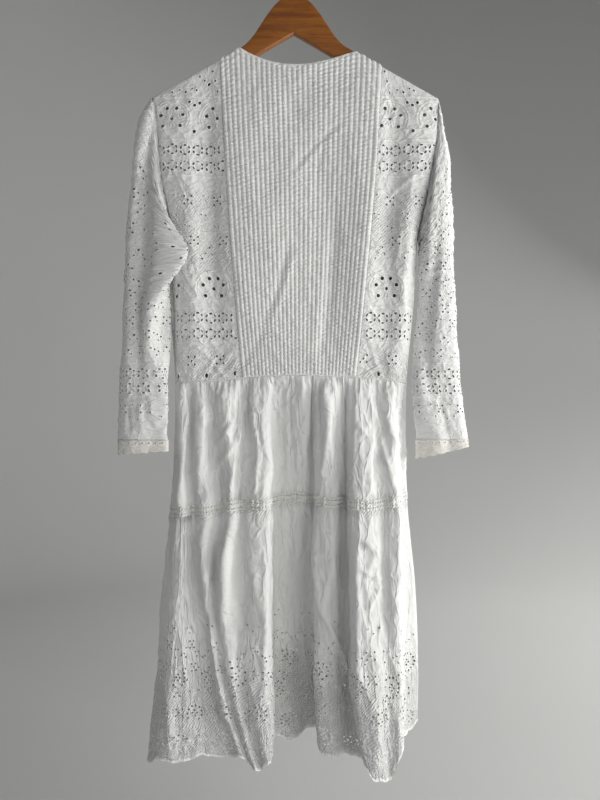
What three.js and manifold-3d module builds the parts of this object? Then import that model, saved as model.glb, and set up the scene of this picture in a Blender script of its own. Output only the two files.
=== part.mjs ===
// Maxi dress of white broderie cotton, hanging on a wooden hanger.
// Millimetres, +Z up. The origin is the inside top of the hook, where a rail carries the hanger.
// -Y is the dress's back, with the shallow neckline; +X is to the right of someone facing that side.
// Every piece of cloth is a thin wall on a surface drawn through its fold lines, from top to bottom.
import * as THREE from 'three';
import { mergeVertices } from 'three/addons/utils/BufferGeometryUtils.js';
import Module from 'manifold-3d';

// ---- driving dimensions ----

const clothWall = 1.2;          // panels of cotton lawn, as a rigid wall
const bandWall = 2.2;           // waist cord and cuffs, which are several layers
const bindingWall = 1.6;        // folded strip round the neck
const bindingStand = 0.7;       // between it and its panel, where both turn over the arms
const laceWall = 1.4;           // ladder insertion between the skirt tiers
const seamGap = 0.3;            // between neighbouring pieces

const armHalfLength = 222;      // hanger, from its middle to a shoulder tip
const armThick = 12;
const armSlope = 0.57;          // fall of the shoulder for each millimetre outward
const armNeckX = 93;            // where the straight shoulder begins
const armNeckZ = -142;
const clothOverArm = 2.5;       // from the arm's top to the middle of the cloth lying on it
const shoulderRoll = 9;         // height over which the cloth turns down off the arm
const ridgeGap = 0.35;          // from the shoulder seam to the edge of each panel

const hookInnerRadius = 19;
const hookWire = 3.8;
const hookBore = 4.4;
const hookJoinsRing = -55;      // degrees round the hook's ring, where the shank runs into it
const hookEndsRing = 205;
const hookSeatZ = -76;          // bottom of the hook's shank inside the wood

const underarmZ = -444;
const waistZ = -671;
const tierZ = -874;
const neckLeftX = -90;          // neck points, where the shoulder seams meet the neckline
const neckRightX = 103;
const neckTurn = [0, 1, 2.5, 5];     // columns inward from a neck point, where the edge leaves the arm
const backNeckDrop = 23;        // depth of the neckline below the neck points
const frontNeckDrop = 96;
const waistCordHeight = 3.4;
const tierLaceHeight = 15;
const cuffHeight = 20;
const armholeStep = 1.1;        // sleeve seam lies this far outside the armhole edge
const armholeLift = 2.2;        // and this far over it where the sleeve folds onto the back

// ---- bodice fold lines: x and depth (y) at six stations from the top edge to the waist ----
// The top depth is that of the hanging cloth, before it turns over the hanger.

const bodiceZ = [null, -262, -340, underarmZ, -560, waistZ];     // the top edge has its own height
const underarmV = 3 / (bodiceZ.length - 1);

// line, then x and y at top, yoke, chest, underarm, rib, waist
const backLines = [
  { line: 'left armhole and side', x: [-227, -220, -213, -197, -194, -192], y: [-10, -12, -16, -5, 2, 5] },
  { line: 'left side roll', x: [-212, -208, -203, -190, -188, -186], y: [-10, -16, -21, -17, -9, -7] },
  { line: 'left side panel', x: [-172, -172, -170, -164, -160, -160], y: [-10, -19, -25, -27, -22, -14] },
  { line: 'left trough', x: [-139, -137, -136, -134, -124, -128], y: [-10, -13, -15, -16, -14, -14] },
  { line: 'left tuck seam', x: [-119, -113, -108, -101, -92, -82], y: [-10, -18, -23, -26, -22, -15] },
  { line: 'left of centre', x: [-58, -54, -51, -47, -42, -36], y: [-11, -19, -24, -27, -22, -17] },
  { line: 'centre back', x: [6, 8, 9, 9, 9, 9], y: [-12, -17, -21, -24, -20, -17] },
  { line: 'right of centre', x: [70, 68, 66, 63, 58, 53], y: [-11, -17, -20, -19, -16, -16] },
  { line: 'right tuck seam', x: [141, 135, 130, 121, 110, 99], y: [-10, -19, -24, -26, -22, -15] },
  { line: 'right trough', x: [163, 160, 158, 154, 148, 140], y: [-10, -14, -16, -17, -15, -13] },
  { line: 'right side panel', x: [193, 193, 188, 180, 173, 162], y: [-10, -19, -25, -26, -20, -13] },
  { line: 'right side roll', x: [217, 220, 212, 193, 186, 176], y: [-10, -16, -21, -16, -9, -7] },
  { line: 'right armhole and side', x: [232, 231, 221, 199, 193, 182], y: [-10, -11, -16, -5, 2, 5] },
];

const frontLines = [
  { line: 'left armhole and side', x: [-227, -220, -213, -197, -194, -192], y: [10, 12, 15, -5, 2, 5] },
  { line: 'left side roll', x: [-212, -208, -203, -190, -188, -186], y: [10, 15, 18, 12, 14, 14] },
  { line: 'left side panel', x: [-168, -168, -166, -160, -156, -154], y: [10, 17, 22, 24, 22, 18] },
  { line: 'left tuck seam', x: [-126, -121, -117, -108, -97, -86], y: [10, 14, 18, 20, 20, 20] },
  { line: 'left of centre', x: [-58, -56, -53, -48, -43, -37], y: [11, 14, 20, 25, 24, 22] },
  { line: 'centre front', x: [6, 7, 8, 9, 9, 9], y: [13, 14, 17, 21, 22, 22] },
  { line: 'right of centre', x: [70, 69, 67, 63, 58, 53], y: [11, 14, 20, 25, 24, 22] },
  { line: 'right tuck seam', x: [143, 138, 132, 123, 112, 101], y: [10, 14, 18, 20, 20, 19] },
  { line: 'right side panel', x: [186, 187, 184, 176, 168, 158], y: [10, 17, 22, 24, 22, 17] },
  { line: 'right side roll', x: [217, 220, 212, 193, 186, 176], y: [10, 15, 18, 12, 14, 14] },
  { line: 'right armhole and side', x: [232, 231, 221, 199, 193, 182], y: [10, 11, 15, -5, 2, 5] },
];

// ---- skirt fold lines, all round: x at five stations; depth just below the gathers and at the hem ----

const skirtZ = [waistZ, -705, tierZ, -1015, -1160];     // the hem's height is each line's own
const depthGrowth = [0, 0, 0.42, 0.66, 0.86, 1];        // how far a fold has opened at each station

// line, x at waist, tier, thigh, calf, hem; depth at top and hem; height of the hem
const skirtLines = [
  { line: 'left seam', x: [-192, -201, -214, -225, -240], top: 8, hem: 16, hemZ: -1298 },
  { line: 'ridge 1', x: [-178, -179, -186, -196, -210], top: -17, hem: -37, hemZ: -1277 },
  { line: 'trough 1', x: [-167, -163, -156, -132, -98], top: -9, hem: -28, hemZ: -1272 },
  { line: 'ridge 2', x: [-150, -142, -138, -115, -79], top: -20, hem: -44, hemZ: -1270 },
  { line: 'trough 2', x: [-134, -117, -127, -107, -68], top: -10, hem: -38, hemZ: -1281 },
  { line: 'ridge 3', x: [-108, -99, -105, -93, -60], top: -24, hem: -48, hemZ: -1283 },
  { line: 'trough 3', x: [-77, -84, -85, -84, -52], top: -11, hem: -44, hemZ: -1286 },
  { line: 'ridge 4', x: [-57, -59, -59, -55, -44], top: -22, hem: -54, hemZ: -1279 },
  { line: 'near edge', x: [-42, -41, -40, -38, -35], top: -20, hem: -51, hemZ: -1270 },
  { line: 'valley wall', x: [-36, -34, -32, -31, -30], top: -6, hem: 52, hemZ: -1283 },
  { line: 'valley floor', x: [-14, -7, -4, -4, -4], top: -6, hem: 60, hemZ: -1287 },
  { line: 'valley ridge', x: [13, 16, 15, 15, 20], top: -12, hem: 55, hemZ: -1273 },
  { line: 'valley end', x: [29, 33, 33, 35, 39], top: -6, hem: 52, hemZ: -1265 },
  { line: 'middle edge', x: [39, 39, 37, 37, 42], top: -15, hem: -8, hemZ: -1275 },
  { line: 'middle ridge', x: [54, 57, 59, 61, 67], top: -24, hem: -15, hemZ: -1279 },
  { line: 'middle trough', x: [82, 84, 85, 90, 106], top: -8, hem: -6, hemZ: -1284 },
  { line: 'right edge', x: [91, 91, 92, 96, 107], top: -21, hem: -67, hemZ: -1262 },
  { line: 'right plane', x: [111, 113, 115, 119, 129], top: -25, hem: -74, hemZ: -1292 },
  { line: 'right trough', x: [135, 139, 144, 145, 147], top: -14, hem: -64, hemZ: -1289 },
  { line: 'right ridge', x: [153, 160, 162, 163, 164], top: -22, hem: -62, hemZ: -1256 },
  { line: 'far wall', x: [170, 176, 181, 186, 189], top: -8, hem: 40, hemZ: -1267 },
  { line: 'right seam', x: [182, 187, 203, 210, 210], top: 8, hem: 58, hemZ: -1260 },
  { line: 'front ridge 1', x: [168, 172, 180, 190, 196], top: 24, hem: 80, hemZ: -1266 },
  { line: 'front trough 1', x: [140, 140, 146, 152, 156], top: 16, hem: 68, hemZ: -1272 },
  { line: 'front ridge 2', x: [108, 108, 112, 118, 122], top: 28, hem: 88, hemZ: -1278 },
  { line: 'front trough 2', x: [74, 72, 72, 74, 76], top: 17, hem: 76, hemZ: -1280 },
  { line: 'front ridge 3', x: [38, 36, 34, 34, 34], top: 28, hem: 92, hemZ: -1284 },
  { line: 'front trough 3', x: [4, 2, 0, -4, -6], top: 18, hem: 80, hemZ: -1286 },
  { line: 'front ridge 4', x: [-34, -38, -42, -48, -52], top: 29, hem: 92, hemZ: -1284 },
  { line: 'front trough 4', x: [-72, -76, -82, -90, -96], top: 17, hem: 68, hemZ: -1282 },
  { line: 'front ridge 5', x: [-106, -112, -120, -130, -138], top: 28, hem: 74, hemZ: -1284 },
  { line: 'front trough 5', x: [-140, -146, -155, -166, -178], top: 16, hem: 50, hemZ: -1288 },
  { line: 'front ridge 6', x: [-170, -176, -187, -200, -214], top: 22, hem: 46, hemZ: -1292 },
];
const rightSeamLine = 21;

// ---- sleeve fold lines: x and y at stations below the armhole, all round from the outer edge ----

const sleeveZ = [-475, -560, -618, -683, -735, -770];

// line, share of the armhole from shoulder tip to underarm, x and y at the crown and at the stations
const leftSleeveLines = [
  { line: 'outer edge', share: 0, crown: [-252, 2, -300],
    x: [-272, -276, -278, -280, -281, -280],
    y: [2, 2, 0, -8, -14, -18] },
  { line: 'outer ridge', share: 0.07, crown: [-246, -16, -306],
    x: [-263, -264, -266, -267, -266, -264],
    y: [-15, -15, -17, -24, -30, -31] },
  { line: 'valley', share: 0.2, crown: [-233, -14, -318],
    x: [-238, -242, -246, -246, -244, -242],
    y: [-11, -12, -17, -28, -34, -34] },
  { line: 'puffed back', share: 0.38, crown: [-222, -26, -352],
    x: [-214, -234, -238, -226, -222, -222],
    y: [-38, -30, -26, -32, -34, -32] },
  { line: 'fold edge', share: 0.6, crown: [-204, -26, -410],
    x: [-166, -221, -228, -203, -200, -201],
    y: [-41, -34, -28, -30, -31, -31] },
  { line: 'under layer', share: 0.8, crown: [-198, -17, -434],
    x: [-184, -211, -214, -201, -199, -199],
    y: [-30, -17, -15, -23, -26, -26] },
  { line: 'underarm', share: 1, crown: [-199, -7, -458],
    x: [-201, -200, -200, -204, -204, -204],
    y: [-8, -5, -4, -12, -18, -20] },
  { line: 'front inner', share: -0.7, crown: [-212, 14, -400],
    x: [-211, -210, -210, -213, -213, -213],
    y: [13, 10, 8, -3, -10, -12] },
  { line: 'front middle', share: -0.4, crown: [-228, 21, -345],
    x: [-236, -238, -238, -241, -242, -241],
    y: [22, 18, 15, 6, -2, -6] },
  { line: 'front outer', share: -0.15, crown: [-243, 16, -312],
    x: [-260, -263, -264, -266, -267, -266],
    y: [17, 14, 12, 4, -4, -8] },
];

const rightSleeveLines = [
  { line: 'outer edge', share: 0, crown: [250, 2, -306],
    x: [259, 262, 265, 270, 275, 281],
    y: [2, 2, 2, 2, 0, -2] },
  { line: 'outer ridge', share: 0.07, crown: [244, -14, -312],
    x: [251, 254, 257, 261, 265, 270],
    y: [-13, -14, -15, -14, -14, -14] },
  { line: 'ridge line', share: 0.22, crown: [236, -21, -324],
    x: [237, 229, 227, 229, 238, 247],
    y: [-24, -22, -19, -16, -15, -14] },
  { line: 'puffed back', share: 0.4, crown: [225, -27, -356],
    x: [226, 218, 214, 216, 224, 232],
    y: [-21, -9, -9, -15, -20, -19] },
  { line: 'inner fold', share: 0.58, crown: [213, -26, -404],
    x: [213, 208, 204, 202, 208, 214],
    y: [-23, -5, -7, -17, -18, -15] },
  { line: 'under layer', share: 0.82, crown: [206, -14, -434],
    x: [204, 201, 196, 192, 195, 200],
    y: [-13, -3, -4, -9, -10, -9] },
  { line: 'underarm', share: 1, crown: [201, -5, -457],
    x: [203, 200, 195, 192, 195, 198],
    y: [-3, 3, 3, 1, 0, 0] },
  { line: 'front inner', share: -0.7, crown: [214, 14, -400],
    x: [213, 209, 205, 202, 206, 210],
    y: [13, 13, 12, 11, 9, 8] },
  { line: 'front middle', share: -0.4, crown: [229, 20, -345],
    x: [232, 231, 230, 230, 234, 240],
    y: [20, 19, 18, 16, 13, 11] },
  { line: 'front outer', share: -0.15, crown: [242, 16, -315],
    x: [249, 251, 253, 256, 261, 267],
    y: [15, 14, 14, 12, 10, 8] },
];
const cuffDrop = { left: [-2, 4], right: [12, -8] };    // how far the cuff hangs at its inner and outer side

// ---- surfaces ----

const v3 = (x, y, z) => new THREE.Vector3(x, y, z);
const mix = THREE.MathUtils.lerp;
const clamp = THREE.MathUtils.clamp;

function through(points, closed = false) {
  return new THREE.CatmullRomCurve3(points, closed, 'centripetal');
}

// Height of the cloth's ridge along the shoulders, carried on as a straight line over the neck.
function shoulderZ(x) {
  return armNeckZ + clothOverArm - armSlope * (Math.abs(x) - armNeckX);
}

// How far the cloth has turned down off the hanger, from 0 on the ridge to 1 on the hanging part.
function turnedDown(x, z) {
  const drop = clamp((shoulderZ(x) - z) / shoulderRoll, 0, 1);
  return Math.sqrt(1 - (1 - drop) ** 2);
}

// Top edge of a bodice side: the shoulder seams, and the neckline between the neck points.
function topEdge(x, facing) {
  if (x <= neckLeftX || x >= neckRightX) {
    return shoulderZ(x);
  }
  const q = (x - neckLeftX) / (neckRightX - neckLeftX);
  const ends = mix(shoulderZ(neckLeftX), shoulderZ(neckRightX), q);
  const back = backNeckDrop * Math.sin(Math.PI * q ** 0.85);
  const front = frontNeckDrop * Math.sin(Math.PI * q);
  return ends - (facing < 0 ? back : front);
}

// A fold line of the bodice. Its outer lines turn at the underarm, from armhole edge to side seam,
// so that back and front share one seam.
function bodiceRow(entry, facing) {
  const points = bodiceZ.map((z, i) => v3(entry.x[i], entry.y[i], z ?? topEdge(entry.x[0], facing)));
  if (!entry.line.includes('armhole')) {
    return through(points);
  }
  const turn = bodiceZ.indexOf(underarmZ);
  const armhole = through(points.slice(0, turn + 1));
  const seam = through(points.slice(turn));
  return {
    getPoint: (v) => (v < underarmV
      ? armhole.getPoint(v / underarmV)
      : seam.getPoint((v - underarmV) / (1 - underarmV))),
  };
}

// A bodice side is a function of u, across from left to right, and v, from the top edge down.
function bodiceSide(lines, facing) {
  const rows = lines.map((entry) => bodiceRow(entry, facing));
  const net = (u, v) => through(rows.map((row) => row.getPoint(v))).getPoint(u);
  return (u, v) => {
    const p = net(u, v);
    const top = net(u, 0);
    const nearTop = clamp(1 - v * (bodiceZ.length - 1), 0, 1);
    p.z += (topEdge(top.x, facing) - top.z) * nearTop ** 2;
    const roll = p.z > underarmZ ? turnedDown(p.x, p.z) : 1;
    p.y *= roll;
    if (roll < 0.1) {
      p.y = facing * Math.max(ridgeGap, Math.abs(p.y));
    }
    return p;
  };
}

const backBodice = bodiceSide(backLines, -1);
const frontBodice = bodiceSide(frontLines, 1);

// The skirt hangs from the same ring that closes the bodice.
const waistRing = through([
  ...backLines.map((entry) => v3(entry.x.at(-1), entry.y.at(-1), waistZ)),
  ...frontLines.slice(1, -1).reverse().map((entry) => v3(entry.x.at(-1), entry.y.at(-1), waistZ)),
], true);
const ringShareOfBack = (backLines.length - 1) / (backLines.length + frontLines.length - 2);

// Depth of the waist ring at x, on its back or front half.
function waistDepth(x, facing) {
  const [from, to] = facing < 0 ? [0, ringShareOfBack] : [ringShareOfBack, 1];
  const half = spread(from, to, 240).map((t) => waistRing.getPoint(t % 1));
  const nearest = half.reduce((best, p) => (Math.abs(p.x - x) < Math.abs(best.x - x) ? p : best));
  return nearest.y;
}

function skirtRow(entry, index) {
  const facing = index <= rightSeamLine ? -1 : 1;
  const across = [entry.x[0], entry.x[0], ...entry.x.slice(1)];
  const points = across.map((x, i) => {
    const y = i === 0 ? waistDepth(x, facing) : mix(entry.top, entry.hem, depthGrowth[i]);
    return v3(x, y, skirtZ[i] ?? entry.hemZ);
  });
  return through(points);
}

const skirtRows = skirtLines.map(skirtRow);

// The skirt is a function of s, all round from the left seam, and v, from the waist to the hem.
function skirt(s, v) {
  return through(skirtRows.map((row) => row.getPoint(v)), true).getPoint(((s % 1) + 1) % 1);
}

// Point on an armhole edge: share 0 is the shoulder tip, 1 the underarm, negative along the front.
function armholePoint(side, share) {
  const u = side === 'left' ? 0 : 1;
  const panel = share < 0 ? frontBodice : backBodice;
  const p = panel(u, Math.abs(share) * underarmV);
  const outward = side === 'left' ? -1 : 1;
  const lift = Math.sin(Math.PI * clamp(share, 0, 1)) * armholeLift;
  return v3(p.x + outward * armholeStep, p.y - lift, p.z);
}

// A sleeve is a function of s, all round from the outer edge over the back, and v, armhole to wrist.
function sleeve(side, lines) {
  const rows = lines.map((entry) => {
    const stations = sleeveZ.map((z, k) => v3(entry.x[k], entry.y[k], z));
    return through([armholePoint(side, entry.share), v3(...entry.crown), ...stations]);
  });
  return (s, v) => through(rows.map((row) => row.getPoint(v)), true).getPoint(((s % 1) + 1) % 1);
}

const leftSleeve = sleeve('left', leftSleeveLines);
const rightSleeve = sleeve('right', rightSleeveLines);

// A cuff carries the sleeve's wrist ring straight down, lower at one side where it hangs askew.
function cuff(sleeveSurface, [innerDrop, outerDrop]) {
  const ring = spread(0, 1, 40).map((s) => sleeveSurface(s, 1).x);
  const [low, high] = [Math.min(...ring), Math.max(...ring)];
  return (s, v) => {
    const p = sleeveSurface(s, 1);
    const across = (p.x - low) / (high - low);
    const leftDrop = low < 0 ? outerDrop : innerDrop;
    const rightDrop = low < 0 ? innerDrop : outerDrop;
    p.z -= v * (cuffHeight + mix(leftDrop, rightDrop, across));
    return p;
  };
}

// ---- solids ----

function spread(from, to, count) {
  return Array.from({ length: count + 1 }, (_, i) => mix(from, to, i / count));
}

// Unit normal of a surface, to the side that outward gives.
function normalAt(surface, u, v, outward) {
  const step = 1e-3;
  const [u0, u1] = [Math.max(u - step, 0), Math.min(u + step, 1)];
  const [v0, v1] = [Math.max(v - step, 0), Math.min(v + step, 1)];
  const across = surface(u1, v).sub(surface(u0, v));
  const down = surface(u, v1).sub(surface(u, v0));
  return across.cross(down).normalize().multiplyScalar(outward);
}

// Millimetres for each unit of u, or of v, at a place on a surface.
function scaleAt(surface, u, v) {
  const step = 1e-3;
  const [u0, u1] = [Math.max(u - step, 0), Math.min(u + step, 1)];
  const [v0, v1] = [Math.max(v - step, 0), Math.min(v + step, 1)];
  return {
    u: surface(u1, v).distanceTo(surface(u0, v)) / (u1 - u0),
    v: surface(u, v1).distanceTo(surface(u, v0)) / (v1 - v0),
  };
}

// Points and normals of a surface at us and vs. draw says how far, in millimetres, each edge of the
// grid is drawn in from where it would lie, which leaves the gap at a seam.
function grid(surface, us, vs, draw = {}) {
  return vs.map((v, r) => us.map((u, c) => {
    const scale = scaleAt(surface, u, v);
    const intoU = (c === 0 ? draw.left ?? 0 : 0) - (c === us.length - 1 ? draw.right ?? 0 : 0);
    const intoV = (r === 0 ? draw.top ?? 0 : 0) - (r === vs.length - 1 ? draw.bottom ?? 0 : 0);
    const [su, sv] = [u + intoU / scale.u, v + intoV / scale.v];
    const normal = normalAt(surface, su, sv, draw.outward ?? 1);
    const level = (r === 0 && draw.levelTop) || (r === vs.length - 1 && draw.levelBottom);
    if (level) {
      normal.setZ(0).normalize();
    }
    return { point: surface(su, sv), normal };
  }));
}

// A closed wall on a grid of points and normals, or a closed tube where its columns join round.
// Its faces are listed from the middle column, because a reader tells inside from outside at the first.
function wall(cells, thickness, closedRound = false) {
  const rows = cells.length;
  const cols = cells[0].length;
  const offset = (share) => cells.flat().map(({ point, normal }) => (
    point.clone().addScaledVector(normal, share * thickness)));
  const points = [...offset(0.5), ...offset(-0.5)];
  const at = (side, r, c) => side * rows * cols + r * cols + (c % cols);
  const index = [];
  const quad = (a, b, c, d) => index.push(a, b, c, a, c, d);
  const spans = closedRound ? cols : cols - 1;
  const middle = Math.floor(spans / 2);
  for (let k = 0; k < spans; k += 1) {
    const c = (middle + k) % spans;
    for (let r = 0; r < rows - 1; r += 1) {
      quad(at(0, r, c), at(0, r, c + 1), at(0, r + 1, c + 1), at(0, r + 1, c));
      quad(at(1, r, c), at(1, r + 1, c), at(1, r + 1, c + 1), at(1, r, c + 1));
    }
    quad(at(0, 0, c), at(1, 0, c), at(1, 0, c + 1), at(0, 0, c + 1));
    quad(at(0, rows - 1, c), at(0, rows - 1, c + 1), at(1, rows - 1, c + 1), at(1, rows - 1, c));
  }
  for (let r = 0; r < rows - 1 && !closedRound; r += 1) {
    quad(at(0, r, 0), at(0, r + 1, 0), at(1, r + 1, 0), at(1, r, 0));
    quad(at(0, r, cols - 1), at(1, r, cols - 1), at(1, r + 1, cols - 1), at(0, r + 1, cols - 1));
  }
  return facingOut(points, index);
}

// An indexed geometry with its triangles turned so that the volume is positive.
function facingOut(points, index) {
  let volume = 0;
  for (let i = 0; i < index.length; i += 3) {
    const [a, b, c] = index.slice(i, i + 3).map((k) => points[k]);
    volume += a.dot(b.clone().cross(c));
  }
  const geometry = new THREE.BufferGeometry();
  geometry.setAttribute('position', new THREE.Float32BufferAttribute(points.flatMap((p) => p.toArray()), 3));
  const turned = (k) => index[k - (k % 3) + (3 - (k % 3)) % 3];
  geometry.setIndex(volume < 0 ? index.map((_, k) => turned(k)) : index);
  return geometry;
}

// ---- materials ----

const cotton = { color: 0xe9e8e2, roughness: 0.9, metalness: 0 };
const finishes = {
  tuckedLawn: { ...cotton, color: 0xecebe6 },
  eyeletCotton: cotton,
  binding: { ...cotton, color: 0xf1f0eb },
  skirtCotton: { ...cotton, color: 0xe6e5df },
  lace: { ...cotton, color: 0xe2e0d6 },
  varnishedWood: { color: 0x7a4412, roughness: 0.35, metalness: 0 },
  platedSteel: { color: 0xb9b9b6, roughness: 0.3, metalness: 1 },
};

const dress = new THREE.Group();

function add(name, geometry, finish) {
  const mesh = new THREE.Mesh(geometry, new THREE.MeshStandardMaterial(finishes[finish]));
  mesh.name = name;
  dress.add(mesh);
}

// ---- bodice ----

// Close steps where the cloth turns over the hanger, then even ones to the waist.
const bodiceV = [0, 0.004, 0.012, 0.019, 0.1, ...spread(0.2, 1, 8)];
const neckBandV = [0, 0.004, 0.012, 0.019];
const halfGap = seamGap / 2;
const atWaist = waistCordHeight / 2 + seamGap;

// Below the underarm the back and front edges meet at the side seam, with their rims square to x.
function mitreSideSeam(cells, atLeft, atRight) {
  for (const row of cells) {
    if (atLeft && row[0].point.z <= underarmZ + 1) {
      row[0].normal.set(-1, 0, 0);
    }
    if (atRight && row.at(-1).point.z <= underarmZ + 1) {
      row.at(-1).normal.set(1, 0, 0);
    }
  }
}

// Where along a bodice side's top edge a given x lies.
function topEdgeU(surface, x) {
  let [low, high] = [0, 1];
  while (high - low > 1e-6) {
    const middle = (low + high) / 2;
    [low, high] = surface(middle, 0).x < x ? [middle, high] : [low, middle];
  }
  return low;
}

// Over the hanger the cloth turns from level to hanging, and its normals with it.
function turnNormals(cells, facing) {
  for (const { point, normal } of cells.flat()) {
    const down = point.z > underarmZ ? turnedDown(point.x, point.z) : 1;
    if (down < 1) {
      normal.set(0, facing * down, Math.sqrt(1 - down ** 2));
    }
  }
}

// A strip bound over the neck edge, built on the outside of its panel.
function neckBinding(surface, columns, side, facing) {
  const cells = grid(surface, columns, neckBandV, { outward: facing });
  const lift = clothWall / 2 + bindingStand + bindingWall / 2;
  turnNormals(cells, facing);
  cells.flat().forEach(({ point, normal }) => point.addScaledVector(normal, lift));
  add(`neck_binding_${side}`, wall(cells, bindingWall), 'binding');
}

function bodicePanels(surface, lines, side, facing) {
  const last = lines.length - 1;
  const leftTuck = lines.findIndex((entry) => entry.line === 'left tuck seam');
  const rightTuck = lines.findIndex((entry) => entry.line === 'right tuck seam');
  const common = { left: halfGap, right: halfGap, bottom: atWaist, levelBottom: true, outward: facing };
  const between = (from, to) => spread(from / last, to / last, Math.round((to - from) * 2));
  const leftTurn = neckTurn.map((step) => neckLeftX + step);
  const rightTurn = neckTurn.map((step) => neckRightX - step).reverse();
  const acrossNeck = spread(leftTurn.at(-1), rightTurn[0], 5).slice(1, -1);
  const neckColumns = [...leftTurn, ...acrossNeck, ...rightTurn].map((x) => topEdgeU(surface, x));
  const piece = (name, columns, finish) => {
    const cells = grid(surface, columns, bodiceV, common);
    turnNormals(cells, facing);
    mitreSideSeam(cells, columns[0] === 0, columns.at(-1) === 1);
    add(`${side}_${name}`, wall(cells, clothWall), finish);
  };
  piece('side_left', between(0, leftTuck), 'eyeletCotton');
  piece('centre_panel', [leftTuck / last, ...neckColumns, rightTuck / last], 'tuckedLawn');
  piece('side_right', between(rightTuck, last), 'eyeletCotton');
  neckBinding(surface, neckColumns, side, facing);
}

bodicePanels(backBodice, backLines, 'back', -1);
bodicePanels(frontBodice, frontLines, 'front', 1);

// ---- skirt ----

const tierV = 0.4;
const seamS = rightSeamLine / skirtLines.length;
const closeFolds = ['near edge', 'valley end', 'middle trough'];     // no step before the next line
const backS = skirtLines.slice(0, rightSeamLine).flatMap(({ line }, i) => (
  (closeFolds.includes(line) ? [i] : [i, i + 0.5]).map((k) => k / skirtLines.length))).concat(seamS);
const frontS = spread(seamS, 1, (skirtLines.length - rightSeamLine) * 2);
const toLace = tierLaceHeight / 2;

function skirtTier(side, columns) {
  const seams = { left: halfGap, right: halfGap, outward: -1 };
  const upper = grid(skirt, columns, [0, 0.1, 0.2, 0.3, tierV],
    { ...seams, top: atWaist, bottom: toLace + seamGap, levelTop: true });
  add(`skirt_upper_${side}`, wall(upper, clothWall), 'skirtCotton');
  const lowerRows = spread(tierV, 1, 5);
  const lower = grid(skirt, columns, lowerRows, { ...seams, top: toLace + seamGap });
  add(`skirt_lower_${side}`, wall(lower, clothWall), 'skirtCotton');
  const lace = grid(skirt, columns, [tierV, tierV], { ...seams, top: -toLace, bottom: -toLace });
  add(`tier_lace_${side}`, wall(lace, laceWall), 'lace');
}

skirtTier('back', backS);
skirtTier('front', frontS);

// ---- waist cord ----

const cordRing = (s, v) => {
  const p = waistRing.getPoint(((s % 1) + 1) % 1);
  return p.setZ(waistZ + waistCordHeight * (0.5 - v));
};
const ringColumns = spread(0, 1, 46).slice(0, -1);
add('waist_cord', wall(grid(cordRing, ringColumns, [0, 1], { outward: -1 }), bandWall, true), 'binding');

// ---- sleeves and cuffs ----

// Columns at every fold line and halfway between on the back, with two more round the sharp fold edge.
const sleeveLineSteps = [0, 0.5, 1, 1.5, 2, 2.5, 3, 3.5, 3.85, 4, 4.15, 4.5, 5, 5.5, 6, 6.5, 7, 8, 9, 9.5];
const sleeveColumns = sleeveLineSteps.map((step) => step / leftSleeveLines.length);

function sleeveAndCuff(side, surface) {
  const facing = side === 'left' ? 1 : -1;
  const cells = grid(surface, sleeveColumns, spread(0, 1, 13), { bottom: halfGap, outward: facing });
  add(`sleeve_${side}`, wall(cells, clothWall, true), 'eyeletCotton');
  const band = cuff(surface, cuffDrop[side]);
  const bandCells = grid(band, sleeveColumns, [0, 1], { top: halfGap, outward: facing });
  add(`cuff_${side}`, wall(bandCells, bandWall, true), 'binding');
}

sleeveAndCuff('left', leftSleeve);
sleeveAndCuff('right', rightSleeve);

// ---- hanger ----

const wasm = await Module();
wasm.setup();

function toSolid(geometry) {
  const bare = geometry.clone();
  bare.deleteAttribute('normal');
  bare.deleteAttribute('uv');
  const merged = mergeVertices(bare, 1e-4);
  return new wasm.Manifold(new wasm.Mesh({
    numProp: 3,
    vertProperties: new Float32Array(merged.attributes.position.array),
    triVerts: new Uint32Array(merged.index.array),
  }));
}

function fromSolid(solid) {
  const mesh = solid.getMesh();
  const geometry = new THREE.BufferGeometry();
  geometry.setAttribute('position', new THREE.BufferAttribute(mesh.vertProperties, 3));
  geometry.setIndex(new THREE.BufferAttribute(mesh.triVerts, 1));
  return geometry;
}

// Outline of both arms as seen from the back: a swan neck, straight shoulders, round tips.
function hangerOutline() {
  const neckCurve = [[14, -55], [29, -67], [42, -83], [54, -101], [66, -119], [79, -133]];
  const tipTop = [armHalfLength - 12, armNeckZ - armSlope * (armHalfLength - 12 - armNeckX)];
  const tipEnd = [armHalfLength, tipTop[1] - 11];
  const tipUnder = [armHalfLength - 15, tipTop[1] - 24];
  const underNeck = [95, -171];
  const underApex = [0, -115.5];
  const shape = new THREE.Shape();
  const mirrored = (side, [x, z]) => new THREE.Vector2(side * x, z);
  const right = (point) => mirrored(1, point);
  const left = (point) => mirrored(-1, point);
  shape.moveTo(0, -51);
  shape.splineThru([...neckCurve.map(right), new THREE.Vector2(armNeckX, armNeckZ)]);
  shape.lineTo(...tipTop);
  shape.quadraticCurveTo(tipEnd[0], tipTop[1] - 5, ...tipEnd);
  shape.quadraticCurveTo(tipEnd[0] - 2, tipUnder[1], ...tipUnder);
  shape.lineTo(...underNeck);
  shape.lineTo(...underApex);
  shape.lineTo(-underNeck[0], underNeck[1]);
  shape.lineTo(-tipUnder[0], tipUnder[1]);
  shape.quadraticCurveTo(-tipEnd[0] + 2, tipUnder[1], -tipEnd[0], tipEnd[1]);
  shape.quadraticCurveTo(-tipEnd[0], tipTop[1] - 5, -tipTop[0], tipTop[1]);
  shape.lineTo(-armNeckX, armNeckZ);
  shape.splineThru([...neckCurve.map(left).reverse(), new THREE.Vector2(0, -51)]);
  return shape;
}

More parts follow.
